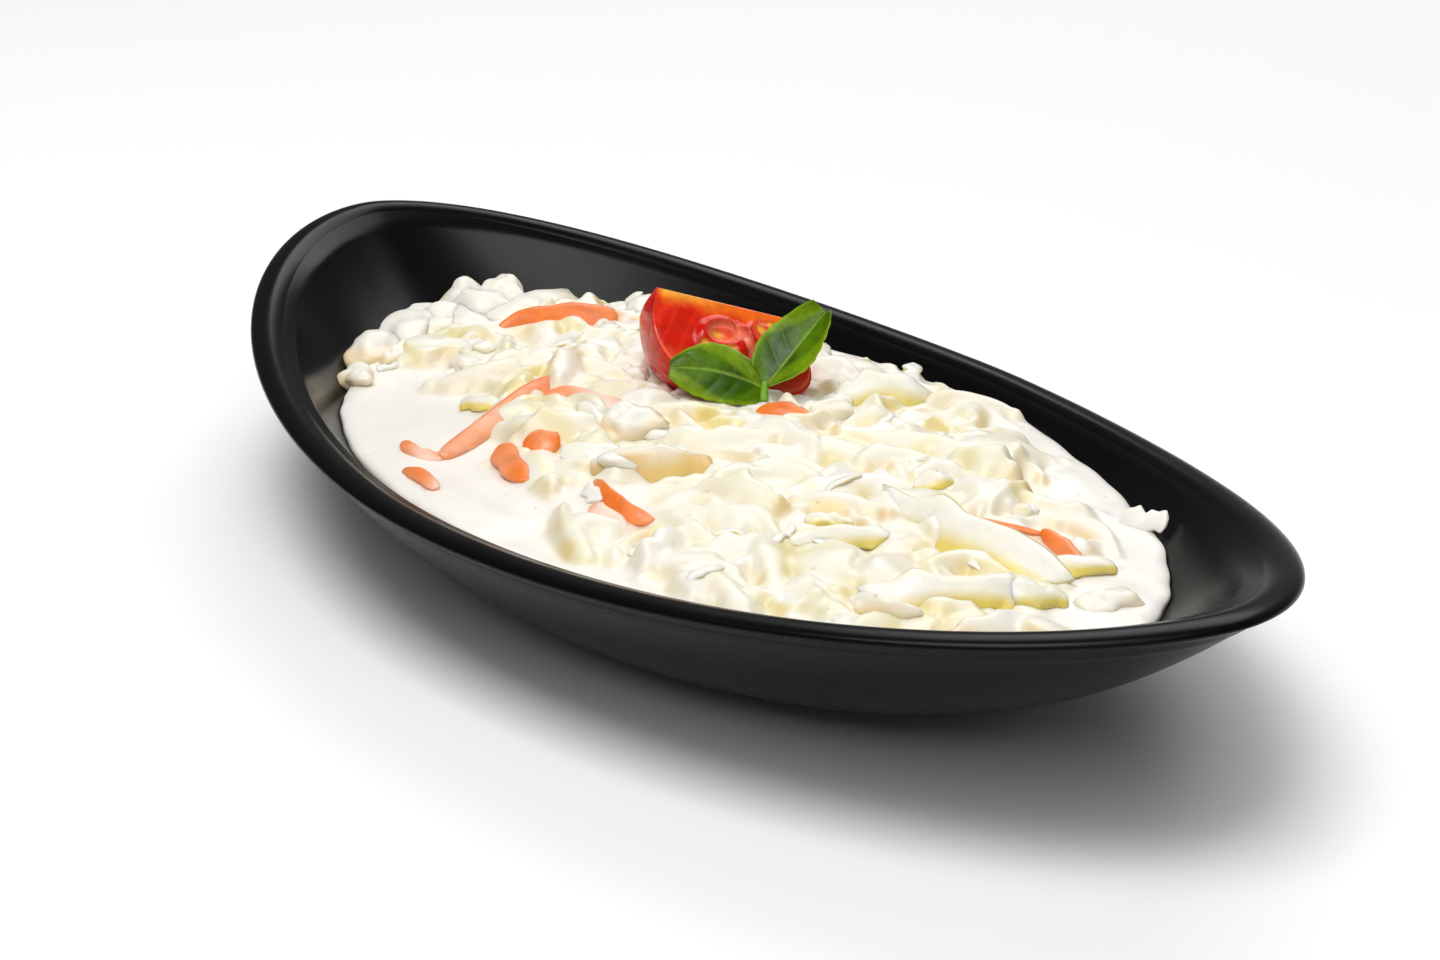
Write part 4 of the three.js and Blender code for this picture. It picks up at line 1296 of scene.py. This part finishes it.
    def build_lumps(self) -> Piece:
        """Coated clumps: spheres stretched to size, dented by sine waves and cut by soft planes.

        Returns:
            One object with every clump.
        """
        rows, around = self.lump_rows, self.lump_columns
        colours = self.map.palette
        lat = np.linspace(0.0, math.pi, rows + 2)[1:-1][:, None]
        lon = np.arange(around)[None] / around * math.tau
        ball = [np.sin(lat) * np.cos(lon), np.sin(lat) * np.sin(lon), np.cos(lat) + 0.0 * lon]
        ball = np.concatenate([np.stack(ball, -1).reshape(-1, 3), [[0.0, 0.0, 1.0], [0.0, 0.0, -1.0]]])
        faces, clumps = capped_triangles(rows, around), []
        wall = self.wall_map()
        for order, lump in enumerate(LUMPS + self.small_lumps()):
            draw = np.random.default_rng(self.lump_seed + order)
            swell = np.ones(len(ball))
            for pitch, size in ((2.6, 0.13), (5.2, 0.08), (11.0, 0.03)):
                for _ in range(3):
                    wave = np.sin(ball @ (unit(draw.normal(size=3)) * pitch) + draw.uniform(0.0, 6.3))
                    swell += size * wave
            cut = unit(draw.normal(size=(9, 3)) + [0.0, 0.0, 0.4])
            planes = np.clip(ball @ cut.T, 1e-3, None) / draw.uniform(0.72, 0.95, 9)
            swell *= 1.1 / ((planes**9).sum(-1) ** (1.0 / 9.0) * 0.5 + 0.5)
            shape = ball * swell[:, None] * lump.radii
            c, s = math.cos(lump.heading), math.sin(lump.heading)
            shape = shape @ np.array([[c, s, 0.0], [-s, c, 0.0], [0.0, 0.0, 1.0]])
            shape = shape + [*lump.place, self.map.fill_level(*lump.place) + lump.rise]
            lowest = self.map.sample(wall, shape[:, 0], shape[:, 1]) - self.lump_sink
            shape[:, 2] = np.maximum(shape[:, 2], lowest)
            # Painted shade with bare flesh: the lower part of each clump turns tan to yellow, by its shade
            # share.
            low = smooth_step(0.72, 0.15, ball[:, 2] + 0.25 * np.sin(ball[:, 0] * 3.0 + order))
            under = mix(colours.tan, colours.yellow, draw.uniform(0.0, 0.4))
            if lump.kind is Kind.CABBAGE:
                under = mix(under, colours.leafy, 0.65)
            top = mix(colours.cream, colours.pale, 0.4)
            clumps.append((shape, faces, mix(top, under, low * lump.shade)))
        return put_parts("coated_lumps", clumps, bpy.data.materials["cream_dressing"])

    def shred_colours(self, kind: Kind, coat: float, count: int, seed: int, bank: float) -> Array:
        """Colour of a shred's points: dressing on top, bare flesh in patches, and along the lower edge a
        yellow, tan or olive that is bare flesh and painted shade.

        Args:
            kind: What the shred is cut from.
            coat: Share of the top under dressing.
            count: Points along the shred.
            seed: Seed of the patches.
            bank: Turn about its length, whose sign gives the lower edge.

        Returns:
            Colours along and round the shred.
        """
        colours, around = self.map.palette, self.around
        draw = np.random.default_rng(seed)
        turn = np.arange(around) / around * math.tau
        top = np.broadcast_to(smooth_step(-0.35, 0.75, np.sin(turn))[None], (count, around))
        t = np.linspace(0.0, 1.0, count)[:, None]
        reach = (-0.15, 0.55) if kind is Kind.RIB else (0.1, 0.9)
        low = smooth_step(*reach, -np.sign(bank + 1e-6) * np.cos(turn))[None] * np.ones((count, 1))
        patch = sum(np.sin(t * draw.uniform(3, 16) + turn + draw.uniform(0, 6.3)) for _ in range(3)) / 3.0
        covered = np.clip(coat + 0.55 * patch + 0.15 * (2 * top - 1), 0.0, 1.0)
        if kind is Kind.CARROT:
            soft = np.sin(t * draw.uniform(3.0, 5.5) + 0.6 * turn[None] + draw.uniform(0.0, 6.3))
            covered = np.clip(coat + 0.3 * soft + 0.12 * patch, 0.0, 1.0)
            flesh = mix(colours.carrot, colours.carrot * [0.84, 0.66, 0.5], smooth_step(0.2, 0.9, patch))
            veil = mix(colours.salmon, colours.cream, smooth_step(0.5, 1.0, covered) * 0.6)
            return mix(flesh, veil, np.clip(0.95 * covered + 0.3 * low, 0.0, 0.96))
        pick = draw.uniform(0.0, 1.0)
        mixed = draw.uniform(0.0, 0.4 if kind is Kind.RIB else 0.8)
        brown = colours.tan if pick < 0.4 else colours.olive
        # The lower edge's colour, yellow with tan or olive: bare flesh and painted shade.
        under = mix(colours.yellow, brown, np.clip(mixed + 0.4 * patch, 0.0, 1.0))
        if kind is Kind.CABBAGE:
            under = mix(under, colours.leafy, 0.55)
        # A negative coat paints the raised side cream and the rest tan to yellow: painted shade below, with
        # the rib's bare flesh.
        if coat < 0.0:
            high = smooth_step(0.25, 0.95, np.sign(bank + 1e-6) * np.cos(turn)[None] + 0.5 * patch)
            return mix(mix(colours.tan, colours.yellow, 0.25 + 0.3 * patch), colours.cream, high * 0.85)
        if coat > 1.5:
            return np.broadcast_to(colours.cream, (count, around, 3))
        # Upper side pale, sides and lower edge the under colour, bare flesh and painted shade: ribs keep
        # all of it on the lower edge, leaves part.
        bare_and_shaded = 1.0 if kind is Kind.RIB else 0.4
        flesh = mix(under, colours.pale, top * (1.0 - bare_and_shaded * low))
        dressed = np.clip(covered * top * 0.9 + 0.1 * top, 0.0, 1.0)
        return mix(flesh, colours.cream, dressed * (1.0 - bare_and_shaded * low))

    def build_shreds(self) -> tuple[Piece, Piece]:
        """Makes the placed shreds and the seeded strewn ones.

        Returns:
            The cabbage piece and the carrot piece.
        """
        cabbage, carrots = list(self.strewn), []
        for order, shred in enumerate(CABBAGE_SHREDS + CARROT_SHREDS):
            path, seed = self.placed_path(shred, self.placed_points), self.placed_seed + order
            colours = self.shred_colours(shred.kind, shred.coat, len(path), seed, shred.bank)
            entry = (path, shred.width, shred.thickness, shred.bank, colours)
            (carrots if shred.kind is Kind.CARROT else cabbage).append(entry)
        leaves = [self.ribbon(order, shred, self.cabbage_jag) for order, shred in enumerate(cabbage)]
        roots = [self.ribbon(order, shred, self.carrot_jag) for order, shred in enumerate(carrots)]
        return (
            put_parts("cabbage_shreds", leaves, self.cabbage.material()),
            put_parts("carrot_shreds", roots, self.carrot.material()),
        )

    def build(self) -> list[Piece]:
        """Builds the dressing and the shreds, and puts them in the coleslaw's place.

        Returns:
            The four pieces of the coleslaw.
        """
        self.press_shreds()
        pieces = [self.build_dressing(), self.build_lumps(), *self.build_shreds()]
        for piece in pieces:
            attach(piece, "root")
            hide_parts("coleslaw")
        return pieces


@dataclass
class TomatoWedge:
    """Wedge of tomato that stands on its skin, its ridge up and one cut face to the near side."""

    centre: Triple = (-24.0, 18.3, 43.0)
    heading: float = 66.8
    dip: float = 15.1
    face_angle: float = 48.5
    spread: float = 84.0
    ridge_half: float = 13.2
    depth: float = 18.6
    tip_bulge: float = 3.4
    stem_bulge: float = 14.8
    seeds: tuple[Triple, ...] = (
        (8.1, 4.0, 0.9), (10.3, 2.4, 0.4), (-0.6, 7.3, 0.3), (1.6, 10.4, -0.5), (9.8, 8.9, 1.2),
        (-3.2, 10.6, 0.9),
    )
    columns: int = 150
    face_rows: int = 72
    skin_rows: int = 54
    finish: Flesh = RIPE_TOMATO

    def directions(self) -> tuple[Array, Array, Array]:
        """Along the ridge, level across it and down from it.

        Returns:
            Three unit vectors.
        """
        h, d = math.radians(self.heading), math.radians(self.dip)
        along = np.array([math.cos(h) * math.cos(d), math.sin(h) * math.cos(d), -math.sin(d)])
        across = unit(np.cross(along, [0.0, 0.0, 1.0]))
        return along, across, unit(np.cross(along, across))

    def edge(self, theta: Array) -> tuple[Array, Array]:
        """Edge of a cut face: place along the ridge and depth, from tip to stem end.

        Args:
            theta: Angles from the tip to the stem end.

        Returns:
            Places along the ridge, and depths.
        """
        c, s = np.cos(theta), np.clip(np.sin(theta), 0.0, None)
        bulge = np.where(c > 0, self.tip_bulge, self.stem_bulge)
        x = -c * self.ridge_half - np.sign(c) * bulge * s * np.sqrt(np.abs(c))
        return x, self.depth * s**0.9

    def place(self, x: Array, depth: Array, turn: Array) -> Array:
        """Point by place along the ridge, depth from it and turn from straight down.

        Args:
            x: Places along the ridge.
            depth: Distances from the ridge.
            turn: Turns about the ridge.

        Returns:
            Points.
        """
        along, across, down = self.directions()
        lean = math.radians(self.face_angle - self.spread / 2.0) + turn
        reach = np.sin(lean)[..., None] * across + np.cos(lean)[..., None] * down
        return np.array(self.centre) + x[..., None] * along + depth[..., None] * reach

    def face_forms(self, x: Array, d: Array) -> tuple[Array, Array]:
        """Relief and colour of a cut face, built from soft ellipses in the face's own plane.

        Args:
            x: Place along the ridge.
            d: Depth below the ridge.

        Returns:
            Height above the plain face, and colour.
        """

        def blob(cx: float, cd: float, rx: float, rd: float, spin: float, soft: float) -> Array:
            """Share from 0 to 1 inside a turned ellipse: eased where its radius passes 1.

            Args:
                cx: Middle along the ridge.
                cd: Depth of the middle.
                rx: Half length.
                rd: Half width.
                spin: Turn of the ellipse.
                soft: Width of the eased edge.

            Returns:
                Shares on the face.
            """
            a, b, c, s = x - cx, d - cd, math.cos(spin), math.sin(spin)
            p, q = a * c + b * s, b * c - a * s
            return smooth_step(1.0 + soft, 1.0 - soft, np.sqrt((p / rx) ** 2 + (q / rd) ** 2))

        orange, flesh = linear(240, 112, 28), linear(220, 44, 16)
        deep, gel = linear(196, 16, 4), linear(232, 84, 52)
        pink, yellow = linear(242, 132, 100), linear(246, 182, 60)
        height = 0.03 * np.sin(0.9 * x + 0.8 * d) * np.sin(1.1 * d + 0.5)
        colour = np.broadcast_to(flesh, (*x.shape, 3)).copy()
        core = smooth_step(4.0, 1.2, d + 0.5 * np.sin(0.8 * x)) * smooth_step(-13.5, -11.5, x)
        colour = mix(colour, orange, core * 0.85)
        colour = mix(colour, yellow, core * smooth_step(2.2, 0.4, d) * smooth_step(4.0, -12.0, x) * 0.8)
        left = blob(-8.2, 8.0, 4.4, 5.6, 0.25, 0.22)
        middle = blob(0.6, 8.2, 5.4, 4.6, -0.2, 0.22)
        right = blob(9.4, 6.8, 5.0, 4.6, 0.35, 0.22)
        height = height - 0.22 * left - 1.35 * middle - 1.35 * right
        colour = mix(colour, deep, np.clip(left * 0.6 + middle * 0.9 + right * 0.9, 0.0, 1.0))
        streak = left * smooth_step(0.55, 1.0, np.sin(1.7 * (x + 0.35 * d) + 2.0))
        colour = mix(colour, linear(228, 50, 24), streak * 0.45)
        jelly, second = (0.3, 6.9, 3.3, 2.3, -0.25, 0.3), (8.6, 4.6, 2.7, 2.7, 0.2, 0.3)
        forms = [((5.2, 8.2, 5.0, 0.75, 1.02, 0.4), 1.1, pink, 0.9), (jelly, 1.15, gel, 0.9)]
        forms += [(jelly, 0.0, pink, 0.75), (second, 1.0, gel, 0.85)]
        forms += [((*place, 1.25, 0.75, spin, 0.25), 0.55, yellow, 0.85) for *place, spin in self.seeds]
        for order, (ellipse, rise, tone, shown) in enumerate(forms):
            form = blob(*ellipse)
            if order == 2:
                form = form * (1.0 - blob(0.3, 6.9, 2.2, 1.4, -0.25, 0.25))
            height = height + rise * form
            colour = mix(colour, tone, form * shown)
        lower = smooth_step(11.5, 14.5, d)
        colour = mix(colour, linear(232, 74, 34), lower * 0.8)
        return height, colour

    def build(self) -> Piece:
        """Rings round the wedge at each place from tip to stem end: near face, skin, far face.

        Returns:
            The wedge.
        """
        theta = np.linspace(0.0, math.pi, self.columns + 2)[1:-1]
        ex, ed = self.edge(theta)
        ridge = -np.cos(theta) * self.ridge_half
        v = np.linspace(0.0, 1.0, self.face_rows)[:, None]
        fx, fd = ridge + (ex - ridge) * v, ed * v
        half = math.radians(self.spread) / 2.0
        height, colour = self.face_forms(fx, fd)
        rim = np.minimum(smooth_step(0.0, 0.05, v) * smooth_step(1.0, 0.93, v), 1.0)
        flat = np.zeros_like(fx)
        along, _, _ = self.directions()

        def face(turn: float) -> Array:
            """Cut face at a turn from straight down, with its relief standing outwards.

            Args:
                turn: Turn of the face about the ridge.

            Returns:
                Points of the face.
            """
            inward = self.place(np.array(0.0), np.array(1.0), np.array(turn)) - np.array(self.centre)
            outward = np.cross(along, inward) * (1.0 if turn > 0 else -1.0)
            return self.place(fx, fd, flat + turn) + unit(outward) * (height * rim)[..., None]

        turns = np.linspace(half, -half, self.skin_rows + 2)[1:-1][:, None]
        skin = self.place(ex + 0.0 * turns, ed + 0.0 * turns, turns + 0.0 * ex)
        rings = np.concatenate([face(half), skin, face(-half)[::-1][:-1]])
        red, dark, under_skin = linear(224, 30, 8), linear(200, 18, 4), linear(240, 128, 104)
        skin_colour = mix(red, dark, smooth_step(-1.0, 1.0, np.sin(3.0 * turns) * np.cos(2.0 * theta)))
        peel = smooth_step(0.955, 0.985, v)
        pale = smooth_step(0.90, 0.96, v) * (1 - peel) * 0.6
        face_colour = mix(mix(colour, under_skin, pale + flat), red, peel + flat)
        tints = np.concatenate([face_colour, skin_colour, face_colour[::-1][:-1]])
        nought = np.array(0.0)
        ends = [self.place(np.array(k * self.ridge_half), nought, nought) for k in (-1.0, 1.0)]
        points = np.concatenate([rings.transpose(1, 0, 2).reshape(-1, 3), ends])
        tint = np.concatenate([tints.transpose(1, 0, 2).reshape(-1, 3), [red, red]])
        triangles = capped_triangles(self.columns, len(rings))
        piece = put_mesh("tomato_wedge_flesh", points, triangles, self.finish.material(), tint)
        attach(piece, "root")
        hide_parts("tomato_wedge")
        return piece


@dataclass(frozen=True)
class Leaf:
    """One basil leaf by its stalk end, tip and the way across it."""

    base: Triple
    tip: Triple
    across: Triple
    width: float
    cup: float
    arch: float
    bow: float
    wave: float


@dataclass
class BasilSprig:
    """Two glossy basil leaves on a short stem, leaning on the tomato's cut face."""

    leaves: tuple[Leaf, ...] = (
        Leaf((-7.4, 16.4, 31.4), (-15.8, 0.9, 35.4), (-7.6, 4.9, 8.7), 12.4, -0.5, 0.6, 1.0, 0.3),
        Leaf((-6.9, 16.6, 31.8), (-7.9, 30.6, 44.0), (12.1, 2.5, -1.8), 12.8, 2.2, -0.6, -0.4, 0.35),
    )
    stem: tuple[Triple, ...] = (
        (-7.3, 16.6, 32.4), (-6.6, 16.0, 31.0), (-5.8, 15.4, 29.4),
    )
    thickness: float = 0.5
    rows: int = 96
    columns: int = 61
    veins: float = 5.2
    finish: Flesh = BASIL_LEAF

    def blade(self, leaf: Leaf) -> Part:
        """Thin closed leaf with a sunken midrib and quilted panels between its side veins.

        The half width is a power of a sine along the leaf; the height is a cup, an arch, edge
        waves, and panels that swell between veins which run outwards towards the tip.

        Args:
            leaf: The leaf.

        Returns:
            Points, triangles and colours.
        """
        base, tip = np.array(leaf.base), np.array(leaf.tip)
        length = float(np.linalg.norm(tip - base))
        along = (tip - base) / length
        side = np.array(leaf.across) - along * np.dot(leaf.across, along)
        side = side / np.linalg.norm(side)
        face = np.cross(side, along)
        u, w = np.meshgrid(np.linspace(0, 1, self.rows), np.linspace(-1, 1, self.columns), indexing="ij")
        off = np.abs(w)
        half = 0.5 + (leaf.width / 2 - 0.5) * np.sin(math.pi * (0.04 + 0.92 * u) ** 0.90) ** 0.62
        half = half * (1.0 + 0.015 * np.sin(u * 46.0) * off**6)
        ripple = leaf.wave * np.sin(u * 9 + w * 1.6) * w * w
        phase = (u - 0.22 * off**1.3) * self.veins + 0.35 * np.sign(w)
        line = np.abs(np.sin(math.pi * phase))
        vein = smooth_step(0.30, 0.02, line) * smooth_step(0.0, 0.12, off) * smooth_step(1.0, 0.7, off)
        rib = smooth_step(0.085, 0.02, off)
        quilt = 0.13 * (1.0 + 0.8 * np.sin(u * 7.0 + w * 3.0)) * line**0.7
        quilt = quilt * smooth_step(0.0, 0.35, off) * smooth_step(1.0, 0.6, off)
        quilt = quilt * smooth_step(0.0, 0.12, u) * smooth_step(1.0, 0.85, u) - 0.22 * rib
        curve = leaf.cup * w * w + leaf.arch * np.sin(math.pi * u) + ripple + quilt
        sideways = w * half + leaf.bow * np.sin(math.pi * u)
        middle = base + along * (u * length)[..., None] + side * sideways[..., None]
        edge = np.sqrt(np.clip(1.0 - np.maximum(off, np.abs(2 * u - 1)) ** 8, 0.0, 1.0))
        body = self.thickness * 0.5 * (0.15 + 0.85 * edge)
        top = middle + face * (curve + body)[..., None]
        under = middle + face * (curve - body)[..., None]
        count = self.rows * self.columns
        ring = border(self.rows, self.columns)
        triangles = np.concatenate([
            grid_triangles(self.rows, self.columns),
            grid_triangles(self.rows, self.columns, first=count)[:, ::-1],
            band_triangles(ring, ring + count),
        ])
        green, light = linear(78, 114, 0), linear(136, 166, 10)
        dark, pale = linear(38, 76, 2), linear(158, 188, 76)
        shaded = smooth_step(0.2, 0.9, 0.5 + 0.5 * np.sin(u * 6.0 + w * 2.0)) * smooth_step(1.0, 0.5, off)
        colour = mix(green, dark, shaded * 0.85)
        colour = mix(colour, light, smooth_step(0.2, 0.9, np.sin(u * 4.3 - w * 3.1 + 2.0)) * 0.5)
        colour = mix(colour, light, smooth_step(0.80, 1.0, off) * 0.7)
        colour = mix(colour, light, vein * 0.12)
        colour = mix(colour, pale, rib * 0.45)
        both = np.concatenate([colour, mix(colour, pale, 0.35)]).reshape(-1, 3)
        return np.concatenate([top, under]).reshape(-1, 3), triangles, both

    def stalk(self) -> Part:
        """Short round stem: a circle carried along its curve, closed at both ends.

        Returns:
            Points, triangles and colours.
        """
        path = curve_through(np.array(self.stem), 20)
        run = unit(np.gradient(path, axis=0))
        a = unit(np.cross(run, [0.0, 0.0, 1.0]) + 1e-9)
        b = np.cross(run, a)
        turn = (np.arange(16) / 16 * math.tau)[None, :, None]
        radius = np.linspace(0.62, 0.85, 20)[:, None, None]
        body = path[:, None] + radius * (a[:, None] * np.cos(turn) + b[:, None] * np.sin(turn))
        points = np.concatenate([body.reshape(-1, 3), [path[0] - run[0] * 0.3, path[-1] + run[-1] * 0.3]])
        return points, capped_triangles(20, 16), np.tile(linear(120, 168, 52), (len(points), 1))

    def build(self) -> Piece:
        """Joins both leaves and the stem into one piece.

        Returns:
            The sprig.
        """
        parts = [*(self.blade(leaf) for leaf in self.leaves), self.stalk()]
        piece = put_parts("basil_leaves", parts, self.finish.material())
        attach(piece, "root")
        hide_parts("basil_sprig")
        return piece


@dataclass(frozen=True)
class Light:
    """Square soft light: where it hangs and the point it faces in metres, its side and its watts."""

    name: str
    place: Triple
    target: Triple
    side: float
    power: float


@dataclass
class Studio:
    """Camera, pale floor and soft studio light."""

    azimuth: float = 53.456
    elevation: float = 20.743
    roll: float = 2.447
    distance: float = 489.96
    focal_pixels: float = 2661.42
    shift_right: float = -2.10
    shift_up: float = -15.86
    image_width: float = 1440.0
    sensor_width: float = 36.0
    base_height: float = 1.6
    floor_half: float = 4.0
    floor_gap: float = 0.0001
    sky: float = 0.13
    lights: tuple[Light, ...] = (
        Light("key_light", (0.09, -0.42, 1.30), (0.0, 0.0, 0.02), 0.74, 10.5),
        Light("front_light", (0.74, -0.66, 1.60), (0.05, 0.0, 0.0), 2.0, 18.5),
        Light("back_light", (-0.95, 1.15, 1.3), (-0.75, 0.95, 0.0), 1.2, 14.0),
    )

    def axes(self) -> tuple[Array, Array, Array]:
        """Camera's right, up and view directions.

        Returns:
            Three unit vectors.
        """
        az, el, ro = (math.radians(v) for v in (self.azimuth, self.elevation, self.roll))
        view = np.array([-math.sin(az) * math.cos(el), math.cos(az) * math.cos(el), -math.sin(el)])
        level = np.array([math.cos(az), math.sin(az), 0.0])
        up = np.cross(level, view)
        right = level * math.cos(ro) + up * math.sin(ro)
        return right, up * math.cos(ro) - level * math.sin(ro), view

    def build_camera(self) -> Piece:
        """Puts the camera where the photograph was taken from.

        Returns:
            The camera.
        """
        right, up, view = self.axes()
        aim = -right * self.shift_right - up * self.shift_up + [0.0, 0.0, self.base_height]
        place = -view * self.distance + aim
        data = bpy.data.cameras.new("camera")
        data.sensor_fit = "HORIZONTAL"
        data.sensor_width = self.sensor_width
        data.lens = self.focal_pixels / self.image_width * self.sensor_width
        data.clip_start, data.clip_end = 0.01, 20.0
        camera = bpy.data.objects.new("camera", data)
        turned = Matrix((right, up, -view)).transposed().to_4x4()
        camera.matrix_world = Matrix.Translation(Vector(place * MM)) @ turned
        bpy.context.scene.collection.objects.link(camera)
        bpy.context.scene.camera = camera
        return camera

    def build_floor(self) -> Piece:
        """Lays a wide plain pale floor just under the foot.

        Returns:
            The floor.
        """
        corners = ((-1, -1), (1, -1), (1, 1), (-1, 1))
        points = [(i * self.floor_half, j * self.floor_half, -self.floor_gap) for i, j in corners]
        mesh = bpy.data.meshes.new("floor")
        mesh.from_pydata(points, [], [(0, 1, 2, 3)])
        floor = bpy.data.objects.new("floor", mesh)
        g = Graph("pale_floor")
        g.set(Base_Color=(0.93, 0.93, 0.93, 1.0), Roughness=0.9, Specular_IOR_Level=0.0)
        mesh.materials.append(g.material)
        bpy.context.scene.collection.objects.link(floor)
        return floor

    def build_light(self, light: Light) -> None:
        """Hangs one soft area light that looks at its target.

        Args:
            light: The light.
        """
        data = bpy.data.lights.new(light.name, "AREA")
        data.shape = "RECTANGLE"
        data.size = data.size_y = light.side
        data.energy = light.power
        lamp = bpy.data.objects.new(light.name, data)
        turned = (Vector(light.target) - Vector(light.place)).to_track_quat("-Z", "Y").to_matrix()
        lamp.matrix_world = Matrix.Translation(Vector(light.place)) @ turned.to_4x4()
        bpy.context.scene.collection.objects.link(lamp)

    def build(self) -> None:
        """Sets floor, view transform, world and lights."""
        self.build_floor()
        scene = bpy.context.scene
        scene.view_settings.view_transform = "Standard"
        world = bpy.data.worlds.new("studio")
        world.use_nodes = True
        sky = world.node_tree.nodes["Background"].inputs
        sky["Color"].default_value = (1.0, 1.0, 1.0, 1.0)
        sky["Strength"].default_value = self.sky
        scene.world = world
        for light in self.lights:
            self.build_light(light)


def main() -> None:
    """Builds the scene piece by piece."""
    logging.basicConfig(level=logging.INFO, format="%(name)s: %(message)s")
    studio = Studio()
    studio.build_camera()
    bowl = Bowl()
    LOG.info("%s", bowl.build().name)
    for piece in Heap(bowl).build():
        LOG.info("%s, %d triangles", piece.name, len(piece.data.polygons))
    LOG.info("%s", TomatoWedge().build().name)
    LOG.info("%s", BasilSprig().build().name)
    studio.build()


if __name__ == "__main__":
    main()
